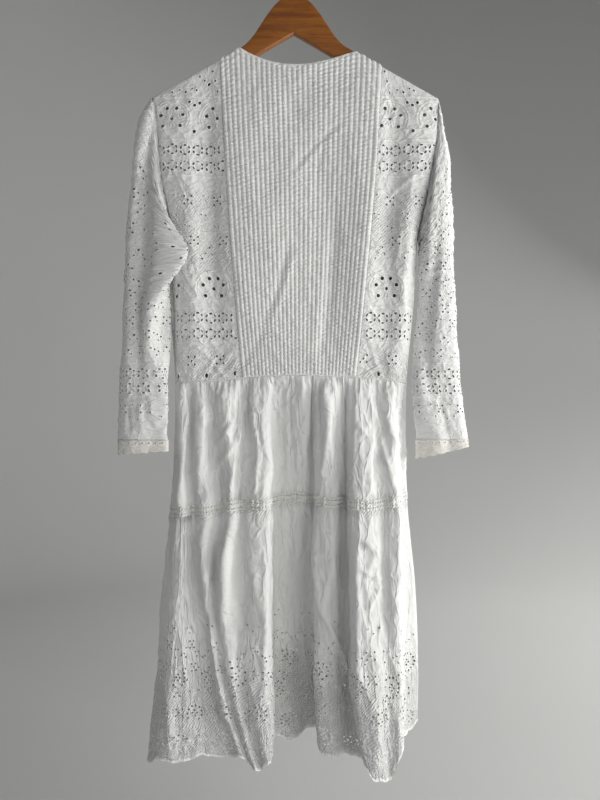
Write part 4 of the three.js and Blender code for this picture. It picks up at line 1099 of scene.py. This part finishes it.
# mesh gaps of the two tiers, depth of the hem's scallops, and pitch of the lace's openings, finer in
# real ladder lace and drawn wide enough to show; then the shares of the way down the skirt where
# the upper tier ends, the lace lies and the lower tier starts
skirtLook = {"fine": 2.4, "lower": 3.3, "scallopDepth": 11.0, "laceGap": 4.2,
             "upperEnd": 0.392, "lace": (0.3895, 0.4105), "lowerStart": 0.408}
skirtCreases = [
    ("side ridge, left", -172, -700, -187, -883, 3.5, 2.4, 4),
    ("curved ridge, left", -150, -690, -157, -865, 3.5, 2.4, 8),
    ("long diagonal", -76, -690, -102, -878, 3, 2.6, -3),
    ("bright diagonal", -70, -688, -56, -790, 3, 2.6, 0),
    ("its lower end", -56, -780, -60, -860, 3, 2.0, 0),
    ("ridge right of the middle", -2, -692, 11, -860, 3, 2.2, 0),
    ("first pleat", 24, -676, 22, -770, 2.8, 2.2, 0),
    ("second pleat", 36, -676, 40, -830, 2.8, 2.4, 2),
    ("third pleat", 48, -680, 62, -857, 3, 2.4, 3),
    ("fourth pleat", 64, -678, 80, -870, 3, 2.4, 3),
    ("fifth pleat", 80, -678, 82, -760, 2.8, 2.0, 0),
    ("long right ridge", 100, -690, 92, -860, 3, 2.2, 0),
    ("ridge right of it", 124, -745, 118, -860, 3, 2.2, 0),
    ("slanting ridge, right", 128, -720, 157, -845, 3, 2.4, 0),
    ("steep fold below the left waist", -96, -736, -128, -784, 4, 2.2, 3),
    ("next fold", -84, -756, -128, -820, 4, 2.4, 3),
    ("sharp line beside the middle", -11, -676, -12, -862, 3.5, 2.6, 2),
    ("thin bright fold", 14, -676, 12, -800, 3, 2.0, 0),
    ("fold right of the middle", 52, -676, 56, -800, 4, 2.2, -3),
    ("level crease", -32, -720, -8, -719, 2.5, 1.4, 0),
    ("crumpled hip", 98, -744, 122, -776, 4, 1.8, 2),
    ("crossing it", 120, -742, 100, -772, 4, 1.5, 0),
    ("right slanting fold", 122, -704, 152, -820, 5, 2.4, -4),
    ("fold beside it", 140, -700, 168, -790, 4, 1.8, -3),
    ("left long fold", -150, -690, -160, -860, 5, 2.0, 3),
    ("second long fold", -126, -690, -140, -850, 4, -1.8, 2),
    ("hollow of the hip", -100, -700, -92, -860, 5, -2.0, 3),
    ("edge of the grey plane", -33, -687, -38, -856, 3, 2.6, 0),
    ("fine fold near the middle", 3, -709, 14, -790, 2.5, 1.8, 0),
    ("long line right of the middle", 17, -705, 16, -856, 2.8, 2.4, 0),
    ("fan fold, left", 57, -705, 40, -856, 3, 2.6, 3),
    ("leaf's left edge", -102, -890, -122, -1020, 3, 2.8, 3),
    ("leaf's right edge", -100, -892, -104, -1050, 3, 2.8, -5),
    ("forked crease", -6, -975, -15, -1045, 3, 2.4, 0),
    ("its right arm", -6, -975, 3, -1052, 3, 2.4, 0),
    ("edge of the middle block", 34, -905, 39, -1040, 3.5, 2.8, 0),
    ("long fold across that block", 38, -1030, 100, -1180, 4, 3.2, 4),
    ("level crumple", 100, -925, 138, -942, 3, 2.2, 2),
    ("second level crumple", 102, -968, 142, -986, 3, 2.4, -2),
    ("its return", 138, -990, 112, -1032, 3, 2.4, 0),
    ("edge at the right side", 166, -890, 162, -1010, 3.5, 2.4, 0),
    ("leaf under the tier", -146, -900, -136, -1010, 5, 3.0, -3),
    ("second leaf", -104, -930, -110, -1090, 6, 3.2, -4),
    ("hollow left of it", -124, -900, -140, -1080, 5, -3.0, 4),
    ("hollow right of it", -84, -890, -100, -1090, 5, -3.0, -4),
    ("long slanting hollow", -157, -977, -125, -1168, 7, -3.0, 3),
    ("bright plane's edge", -44, -900, -46, -1180, 4, 2.0, 0),
    ("valley line", 22, -900, 26, -1190, 5, -2.4, 0),
    ("wrinkle of the middle block", 50, -930, 66, -1010, 5, 2.2, 3),
    ("second wrinkle", 64, -960, 44, -1060, 5, 2.0, -3),
    ("third wrinkle", 48, -1040, 70, -1140, 5, 2.0, 3),
    ("steep edge of the right block", 96, -900, 99, -1200, 4, 2.4, 0),
    ("crumple under the tier", 104, -924, 138, -960, 4, 2.0, 2),
    ("crossing crumple", 136, -920, 108, -990, 4, 1.8, 0),
    ("right trough", 138, -900, 142, -1100, 5, -3.0, 0),
    ("patch beside it", 150, -950, 154, -1030, 5, 2.4, 0),
    ("hem swing left", -200, -1130, -190, -1280, 8, 2.6, 0),
    ("hem swing right", 128, -1130, 126, -1280, 8, 2.4, 0),
]


def gathers(run, drop, seed, gap, depth, reach):
    # small folds let out from a seam: run is the way along it, drop the way below it
    drawn = np.random.default_rng(seed)
    total, at = np.zeros_like(run), float(run.min())
    while at < run.max():
        at += gap * drawn.uniform(0.6, 1.5)
        wide, length = gap * drawn.uniform(0.2, 0.36), reach * drawn.uniform(0.35, 1.7)
        high, slant = depth * drawn.uniform(0.5, 1.3), drawn.uniform(-0.07, 0.07)
        spread = wide * (1 + 0.9 * drop / length)
        near = np.exp(-((run - at - slant * drop) / spread) ** 2)
        total += high * near * np.exp(-(drop / length) ** 1.5)
    return total * ease(0, 4, drop)


def skirtRelief(seed, folds, gap, reach, wide, end, sewnBelow):
    def relief(p, q, base):
        x, y, z = base.T
        side = x + 0.8 * y
        seamed = ease(0, 7, p) * ease(wide, wide - 7, p)
        top = ease(0, 10, q) * ease(0, 10, end - q)
        worn = (1.8 * softNoise(side / 28, z / 80, seed)
                + 1.5 * crumple(side, z, 19, 90, seed + 2, 0.14)
                + 0.9 * crumple(side, z, 12, 60, seed + 8, -0.1)
                + 0.9 * crumple(side, z, 12, 26, seed + 4, -0.35)
                + 0.5 * crumple(side, z, 8, 12, seed + 6, 0.5))
        drawnIn = gathers(p, q, seed + 1, gap, 2.6, reach) + gathers(p, q, seed + 8, 4.6, 1.5, 13)
        if sewnBelow:
            drawnIn += gathers(p, end - q, seed + 10, 5.4, 2.6, 20)
        return seamed * (top * (worn + 1.45 * ease(30, 20, y) * creases(x, z, folds)) + drawnIn)
    return relief


def upperTier(name, share, node, fine, folds, seed, solid):
    flat = layFlat(skirt, share, (0.0, skirtLook["upperEnd"]), sum(share) / 2, 0.2)
    cloth = gridCloth(spaced(flat["width"], fine), spaced(flat["length"], fine))
    relief = skirtRelief(seed, folds, 7.0, 80, flat["width"], flat["length"], True)
    pucker = lambda p, q, base: (0.3 + 0.25 * softNoise(p / 40, q / 40, seed)
                                 + 0.6 * ease(flat["length"] - 18, flat["length"], q))
    makePiece(name, cloth, flat, skirtNormals, relief, "skirtCotton", node, pucker,
              solid=solid)


def rosette(line, holes, p, q, size=13.0, turn=0.0, sweep=300.0):
    # a hook of eyelets round a four-hole middle, with feathered stitches beyond it
    count = int(math.radians(sweep) * size / 5.9)
    holes([(p + size * math.cos(a), q + size * math.sin(a), 1.85)
           for a in np.radians(turn + np.linspace(0, sweep, count))])
    holes([(p + a, q + b, 1.7) for a, b in ((4.0, 0.4), (-4.0, -0.4), (0, 4.6), (0, -4.6))])
    for a in np.radians(turn + np.linspace(8, sweep - 8, count)):
        bend = a + 0.22
        line([(p + r * math.cos(a + (bend - a) * t), q + r * math.sin(a + (bend - a) * t))
              for t, r in ((0, size + 4.0), (0.5, size + 8.0), (1, size + 12.0))], 0.9, 0.6)


def hemPattern(work, flat, count):
    line, holes = workOn(work, flat, lambda p, q: (np.asarray(p, float), np.asarray(q, float)))
    width, length = flat["width"], flat["length"]
    pitch = width / count
    uneven = np.random.default_rng(29)
    for k in range(count):
        p = (k + 0.5) * pitch
        drift = uneven.uniform(-6, 6, 6)
        rosette(line, holes, p + drift[0], length - 31 + drift[1] / 2, 13.5, 200 + 8 * drift[2], 290)
        rosette(line, holes, k * pitch + drift[3], length - 84 + drift[4], 12.5, 160 + 10 * drift[5], 270)
        rosette(line, holes, p + drift[2], length - 138 + drift[0], 13.0 + 2 * (k % 2), 230,
                200 + 60 * (k % 2))
        for over, up in ((k * pitch, 33), (k * pitch + 24, 112), (p, 80), (k * pitch, 150),
                         (k * pitch, 186)):
            flower(holes, over + drift[1], length - up + drift[3], 5.4, 1.6)
        for turn in (-1, 1):
            for step in range(5):
                start, lean = length - 56 - 8 * step, turn * (5 + 3.0 * step)
                petal = [(p + turn * 4 + lean * t, start - 11 * t + 3 * math.sin(3 * t))
                         for t in np.linspace(0, 1, 6)]
                line(petal, 1.1, 0.65)
            curl = [(k * pitch + turn * (8 + 9 * math.sin(t)), length - 112 - 26 * t)
                    for t in np.linspace(0, 2.6, 16)]
            line(curl, 0.8, 0.5)
            holes([(a, q, 1.5) for a, q in curl[1::4]])
        holes([(p + a, length - 178 + 6 * math.sin(a) + drift[1], 1.5) for a in (-15, -7, 1, 9, 17)])
        holes([(k * pitch + a, length - 212 - abs(a) + drift[4], 1.5) for a in (-8, 0, 8)])


def lowerTier(name, share, node, gap, folds, seed, solid, count):
    flat = layFlat(skirt, share, (skirtLook["lowerStart"], 1.0), sum(share) / 2, 0.9)
    work, length = newWork(), flat["length"]
    hemPattern(work, flat, count)
    cloth = cutCloth(flat, spaced(flat["width"], gap), spaced(length, gap), work)
    onForm, pitch = flat["toForm"], flat["width"] / count

    def scalloped(p, q):
        u, v = onForm(p, q)
        notch = (skirtLook["scallopDepth"] * (1 - np.abs(np.sin(math.pi * p / pitch)) ** 0.8)
                 + 2.6 * (1 - np.abs(np.sin(math.pi * (3 * p / pitch + 0.3)))))
        return u, v - notch * ease(length - 45, length, q) * (1 - skirtLook["lowerStart"]) / length

    flat["toForm"] = scalloped
    hung = skirtRelief(seed, folds, 13.0, 100, flat["width"], length + 10, False)
    relief = lambda p, q, base: hung(p, q, base) + 0.7 * np.exp(-(length - q) ** 2 / 5)
    cloth["stitch"] = np.maximum(cloth["stitch"], ease(length - 4, length - 2, cloth["q"]))
    pucker = lambda p, q, base: (0.25 + 0.75 * ease(length - 240, length - 90, q)
                                 * ease(length - 2, length - 7, q) + 0.7 * ease(22, 4, q))
    makePiece(name, cloth, flat, skirtNormals, relief, "skirtCotton", node, pucker,
              solid=solid)


def laceBand(name, share, node):
    # two rows of oblong openings between three cords
    flat = layFlat(skirt, share, skirtLook["lace"], sum(share) / 2, 0.4)
    width, length = flat["width"], flat["length"]
    cells = int(width / skirtLook["laceGap"])
    rung = np.linspace(0, width, cells + 1)
    between = [rung[:-1] + part * width / cells for part in (0.36, 0.72)]
    columns = np.sort(np.concatenate([rung] + between))
    rows = np.array([0, 0.8, 2.2, 3.4, 4.9, 6.2, 7.5, 8.8, 10.1, 11.6, 12.8, 14.2, garment["tierLace"]])
    rows = rows / garment["tierLace"] * length
    cloth = gridCloth(columns, rows)
    wide = len(columns)
    cloth["faces"] = [face for face in cloth["faces"]
                      if not (face[0] % wide % 3 == 2 and (face[0] // wide) in (3, 8))]
    cloth["stitch"] = np.full_like(cloth["p"], 0.6)

    def relief(p, q, base):
        row = q / length * garment["tierLace"]
        cord = sum(np.exp(-((row - place) / 0.9) ** 2) for place in (0.7, 7.5, 14.3))
        drawn = gathers(p, 8 + 0 * q, 61, 4.4, 1.9, 60) + 0.9 * softNoise(p / 4.2, row / 3.5, 5)
        ends = ease(0, 6, p) * ease(width, width - 6, p)
        return 0.3 + 0.25 * cord + 1.5 * ends * drawn * (0.6 + 0.4 * softNoise(p / 13, row / 6, 9))

    makePiece(name, cloth, flat, skirtNormals, relief, "ladderLace", node,
              evenPucker(0.9), solid=0.6)


skirtBack, skirtFront = (0.0, rightSeamS), (rightSeamS, 1.0)
upperTier("upperTierBack", skirtBack, "skirt_upper_back", skirtLook["fine"], skirtCreases, 111, 0.4)
upperTier("upperTierFront", skirtFront, "skirt_upper_front", 4.5, [], 121, 0)
lowerTier("lowerTierBack", skirtBack, "skirt_lower_back", skirtLook["lower"], skirtCreases, 131, 0, 14)
lowerTier("lowerTierFront", skirtFront, "skirt_lower_front", 6.0, [], 141, 0, 10)
laceBand("tierLaceBack", skirtBack, "tier_lace_back")
laceBand("tierLaceFront", skirtFront, "tier_lace_front")


# bindings and cord

def tubeMesh(name, rings, closedRound, material, node):
    # a skin over rings of points, all with the same count
    count, around = rings.shape[0], rings.shape[1]
    spans = count if closedRound else count - 1
    faces = [[r * around + k, r * around + (k + 1) % around,
              (r + 1) % count * around + (k + 1) % around, (r + 1) % count * around + k]
             for r in range(spans) for k in range(around)]
    if not closedRound:
        faces += [list(range(around))[::-1], list(range((count - 1) * around, count * around))]
    points = (rings.reshape(-1, 3) * millimetre).tolist()
    piece = newObject(name, points, faces, materials[material])
    r, k = np.meshgrid(np.arange(count), np.arange(around), indexing="ij")
    run = np.concatenate([[0], np.cumsum(np.linalg.norm(np.diff(rings[:, 0], axis=0), axis=1))])
    writeOn(piece, flatMm=np.stack([run[r], k * 1.3, 0 * k], axis=-1).reshape(-1, 3))
    putOnFrame(piece, node)
    print(name, len(points), "points")
    return piece


def wire(path, aside, above, radius, around):
    # rings of points round a path, from its two directions across
    turn = np.arange(around)[None, :, None] * 2 * math.pi / around
    return path[:, None] + radius[:, None, None] * (
        np.cos(turn) * aside[:, None] + np.sin(turn) * np.array(above))


def neckBinding(name, surface, facing, node):
    # (below the edge, off the cloth) round the folded strip
    section = [(9.3, 0.4), (9.0, 1.3), (7.8, 1.75), (6.6, 1.3), (4.5, 1.75), (2.0, 2.0), (0.2, 1.8),
               (-0.7, 1.1), (-0.8, 0.4), (0.2, 0.1), (5.0, 0.25)]
    us = np.linspace(0, 1, 800)
    xs = surface(us, np.zeros_like(us))[:, 0]
    places = np.linspace(garment["neckLeftX"] + 0.5, garment["neckRightX"] - 0.5, 240)
    u = np.interp(places, xs, us)
    at = lambda v: surface(u, np.full_like(u, v))
    perMm = 0.01 / np.linalg.norm(at(0.02) - at(0.01), axis=1)
    upward = at(0.002) - at(0.012)
    upward /= np.linalg.norm(upward, axis=1)[:, None]
    drawn = 0.35 * softNoise(np.arange(len(u)) / 2.2, 0 * u, 7)
    rings = []
    for below, off in section:
        v = np.maximum(below, 0) * perMm
        p = surface(u, v) + bodiceNormals(surface, u, np.maximum(v, 1e-3), facing) * (
            off + drawn * (off > 1))[:, None]
        rings.append(p + upward * max(-below, 0))
    piece = tubeMesh(name, np.stack(rings, axis=1), False, "folded", node)


neckBinding("neckBindingBack", backBodice, -1, "neck_binding_back")
neckBinding("neckBindingFront", frontBodice, 1, "neck_binding_front")


def waistCord():
    # piping wound with thread, drawn into the gathers
    shares = np.linspace(0, 1, 521)[:-1]
    centre = waistRing(shares)
    along = np.roll(centre, -1, axis=0) - np.roll(centre, 1, axis=0)
    out = np.stack([along[:, 1], -along[:, 0], 0 * shares], axis=1)
    out /= np.linalg.norm(out, axis=1)[:, None]
    run = np.cumsum(np.linalg.norm(along, axis=1)) / 2
    wound = 1.3 + 0.35 * np.sin(run * 2 * math.pi / 3.1) + 0.25 * softNoise(run / 6, run * 0, 8)
    centre = settled(centre)
    centre[:, 2] += 0.5 * softNoise(run / 11, run * 0, 3)
    tubeMesh("waistCord", wire(centre, out, (0, 0, 1.15), wound, 8), True, "folded",
             "waist_cord")


waistCord()


# hanger

def varnishedBeech():
    # steamed beech, sanded and dipped in amber varnish: long grain, about 6 mm from line to line,
    # under a clear gloss; its flecks are 1 mm wide, more than real ones, so that they show
    material, nodes = newMaterial("varnishedBeech")
    place = addNode(nodes, "ShaderNodeTexCoord").outputs["Object"]
    lean = addNode(nodes, "ShaderNodeMapping", {"Vector": place, "Scale": (12.0, 160.0, 110.0)})
    grain = addNode(nodes, "ShaderNodeTexNoise", {"Vector": lean.outputs[0], "Scale": 1.0, "Detail": 5.0,
                                                  "Roughness": 0.62, "Distortion": 0.5})
    flecks = addNode(nodes, "ShaderNodeMapping", {"Vector": place, "Scale": (90.0, 900.0, 700.0)})
    pores = addNode(nodes, "ShaderNodeTexNoise", {
        "Vector": flecks.outputs[0], "Scale": 1.0, "Detail": 2.0})
    ramp = addNode(nodes, "ShaderNodeValToRGB", {"Fac": grain.outputs["Fac"]})
    ramp.color_ramp.elements[0].position, ramp.color_ramp.elements[1].position = 0.3, 0.72
    ramp.color_ramp.elements[0].color = hexColour("#713a04")
    ramp.color_ramp.elements[1].color = hexColour("#a2600e")
    speck = addNode(nodes, "ShaderNodeMapRange", {"Value": pores.outputs["Fac"], "From Min": 0.55,
                                                  "From Max": 0.75, "To Min": 1.0, "To Max": 0.72})
    colour = addNode(nodes, "ShaderNodeMix", {
        "Factor": 1.0, "A": ramp.outputs["Color"], "B": speck.outputs[0]},
        data_type="RGBA", blend_type="MULTIPLY")
    bump = addNode(nodes, "ShaderNodeBump", {"Height": grain.outputs["Fac"], "Distance": 0.0001,
                                             "Strength": 0.5})
    shader = addNode(nodes, "ShaderNodeBsdfPrincipled", {
        "Base Color": colour.outputs["Result"], "Roughness": 0.42, "IOR": 1.5, "Coat Weight": 0.7,
        "Coat Roughness": 0.12, "Normal": bump.outputs["Normal"]})
    addNode(nodes, "ShaderNodeOutputMaterial", {"Surface": shader.outputs[0]})
    return material


def platedSteel():
    # drawn wire, nickel plated: bright, with faint marks about 1 mm across
    material, nodes = newMaterial("nickelPlatedSteel")
    place = addNode(nodes, "ShaderNodeTexCoord").outputs["Object"]
    marks = addNode(nodes, "ShaderNodeTexNoise", {"Vector": place, "Scale": 900.0, "Detail": 3.0})
    dull = addNode(nodes, "ShaderNodeMapRange", {
        "Value": marks.outputs["Fac"], "To Min": 0.18, "To Max": 0.34})
    tint = addNode(nodes, "ShaderNodeMix", {"Factor": marks.outputs["Fac"], "A": hexColour("#c9c6bf"),
                                            "B": hexColour("#b4b1aa")}, data_type="RGBA")
    shader = addNode(nodes, "ShaderNodeBsdfPrincipled", {
        "Base Color": tint.outputs["Result"], "Metallic": 1.0, "Roughness": dull.outputs[0]})
    addNode(nodes, "ShaderNodeOutputMaterial", {"Surface": shader.outputs[0]})
    return material


# half the width, thickness, rounding of the edges, and radii of the hook's bend and of its wire
hanger = {"half": 222, "thick": 12, "round": 3, "hookRadius": 20.9, "wire": 1.9}
materials.update(wood=varnishedBeech(), steel=platedSteel())


def armOutline():
    # the right arm, clockwise from the top of the middle joint
    neckX, neckZ, tipX = garment["armNeckX"], garment["armNeckZ"], hanger["half"] - 12
    tipZ = neckZ - garment["armSlope"] * (tipX - neckX)
    curve = [(0, 0, -51), (14, 0, -55), (29, 0, -67), (42, 0, -83), (54, 0, -101), (66, 0, -119),
             (79, 0, -133), (neckX, 0, neckZ)]
    neck = throughPoints(curve, np.linspace(0, 1, 60))
    straight = [(neckX + (tipX - neckX) * t, 0, neckZ + (tipZ - neckZ) * t)
                for t in np.linspace(0.05, 1, 24)]
    tip = throughPoints([(tipX, 0, tipZ), (217, 0, tipZ - 3.5), (221, 0, tipZ - 9), (221, 0, tipZ - 15),
                         (216, 0, tipZ - 21), (207, 0, tipZ - 24)], np.linspace(0.05, 1, 20))
    under = [(207 + (95 - 207) * t, 0, tipZ - 24 + (-171 - tipZ + 24) * t)
             for t in np.linspace(0.05, 0.9, 20)]
    swan = throughPoints([(106.2, 0, -176.2), (95, 0, -170.6), (84, 0, -164.5), (60, 0, -150.6),
                          (30, 0, -133), (0, 0, -115.5)], np.linspace(0, 1, 40))
    return np.concatenate([neck, straight, tip, under, swan])[:, [0, 2]]


def hangerArm(name, side, node):
    outline = armOutline()
    before, after = np.roll(outline, 1, axis=0), np.roll(outline, -1, axis=0)
    edge = after - before
    inward = np.stack([edge[:, 1], -edge[:, 0]], axis=1) / np.linalg.norm(edge, axis=1)[:, None]
    inward[outline[:, 0] < 0.01] = [[0, -1], [0, 1]]
    r, half = hanger["round"], hanger["thick"] / 2
    profile = [(r * (1 - math.sin(a)), -half + r * (1 - math.cos(a)))
               for a in np.radians([0, 22, 45, 68, 90])]
    profile += [(a, -b) for a, b in profile[::-1]]
    rings = []
    for inset, depth in profile:
        flatRing = outline + inward * inset
        x = side * np.maximum(flatRing[:, 0], 0.02)
        rings.append(np.stack([x, np.full(len(x), depth), flatRing[:, 1]], axis=1))
    rings = np.stack(rings)
    arm = tubeMesh(name, rings if side > 0 else rings[:, ::-1], False, "wood", node)
    arm.data.set_sharp_from_angle(angle=math.radians(40))


hangerArm("hangerArmLeft", -1, "hanger_arm_left")
hangerArm("hangerArmRight", 1, "hanger_arm_right")


def hangerHook():
    angles = np.radians(np.linspace(-55, 205, 60))
    radius = hanger["hookRadius"]
    ring = [(radius * math.cos(a), 0, radius * math.sin(a) - 19) for a in angles]
    path = throughPoints([(0, 0, -76), (0, 0, -62), (0, 0, -50), (0, 0, -46)] + ring[::6] + [ring[-1]],
                         np.linspace(0, 1, 170))
    along = np.gradient(path, axis=0)
    along /= np.linalg.norm(along, axis=1)[:, None]
    thick = np.full(len(path), hanger["wire"])
    thick[-4:] = [1.87, 1.7, 1.3, 0.5]
    tubeMesh("hangerHook", wire(path, np.cross(along, [0, 1, 0]), (0, 1, 0), thick, 20), False, "steel",
             "hanger_hook")


hangerHook()


# studio

# in metres and watts; the floor sweeps up into a wall all round
studio = {"floor": -1.47, "radius": 2.7, "wall": 4.2, "curve": 0.9, "turns": 72, "world": 0.16}
# name, place, aimed at, size, power, colour
lights = [
    ("windowLight", (2.0, -0.62, -0.5), (0, 0, -0.85), (1.0, 1.4), 31, "#fffefc"),
    ("doorLight", (1.3, -1.7, -0.7), (0, 0, -1.1), (0.9, 0.9), 13, "#fffefb"),
    ("yardLight", (1.9, 1.5, 0.3), (0, 0, -0.65), (0.9, 1.2), 46, "#fffefb"),
    ("roomFill", (-1.6, -1.5, 0.2), (0, 0, -0.7), (1.4, 1.4), 2, "#eef3ff"),
]


def paintedStage():
    # matt wall paint over plaster, rolled on: nearly even and without shine
    material, nodes = newMaterial("mattWallPaint")
    place = addNode(nodes, "ShaderNodeTexCoord").outputs["Object"]
    tone = addNode(nodes, "ShaderNodeTexNoise", {"Vector": place, "Scale": 1.2, "Detail": 3.0})
    colour = addNode(nodes, "ShaderNodeMix", {"Factor": tone.outputs["Fac"], "A": hexColour("#bdbebd"),
                                              "B": hexColour("#b7b8b7")}, data_type="RGBA")
    shader = addNode(nodes, "ShaderNodeBsdfPrincipled", {"Base Color": colour.outputs["Result"],
                                                         "Roughness": 0.95})
    addNode(nodes, "ShaderNodeOutputMaterial", {"Surface": shader.outputs[0]})
    return material


def bowlStage():
    radius, curve, turns = studio["radius"], studio["curve"], studio["turns"]
    profile = [(0.02, 0.0), (1.2, 0.0), (radius - curve, 0.0)]
    profile += [(radius - curve * (1 - math.sin(a)), curve * (1 - math.cos(a)))
                for a in np.radians(np.arange(10, 91, 10))]
    profile.append((radius, studio["wall"]))
    points = [(r * math.cos(2 * math.pi * k / turns), r * math.sin(2 * math.pi * k / turns),
               z + studio["floor"]) for r, z in profile for k in range(turns)]
    faces = [[r * turns + k, r * turns + (k + 1) % turns, (r + 1) * turns + (k + 1) % turns,
              (r + 1) * turns + k] for r in range(len(profile) - 1) for k in range(turns)]
    faces.append(list(range(turns))[::-1])
    newObject("studioBowl", points, faces, paintedStage())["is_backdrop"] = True


def softLight(name, place, aim, size, power, colour):
    light = bpy.data.lights.new(name, "AREA")
    light.shape, light.size, light.size_y = "RECTANGLE", size[0], size[1]
    light.energy, light.color = power, hexColour(colour)[:3]
    lamp = bpy.data.objects.new(name, light)
    scene.collection.objects.link(lamp)
    lamp.location = place
    lamp.visible_camera = False
    aimed = np.array(aim) - np.array(place)
    lamp.rotation_euler = (math.atan2(math.hypot(aimed[0], aimed[1]), -aimed[2]), 0,
                           math.atan2(aimed[1], aimed[0]) - math.pi / 2)


bowlStage()
for light in lights:
    softLight(*light)
world = bpy.data.worlds.new("studioAir")
scene.world = world
world.use_nodes = True
air = world.node_tree.nodes["Background"].inputs
air["Color"].default_value, air["Strength"].default_value = hexColour("#f2f3f4"), studio["world"]
scene.view_settings.view_transform = "Standard"
print("studio is lit")

plain = lambda box: [[float(c) for c in corner] for corner in box]
{"cad": plain(cadBox), "visual": plain(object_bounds())}
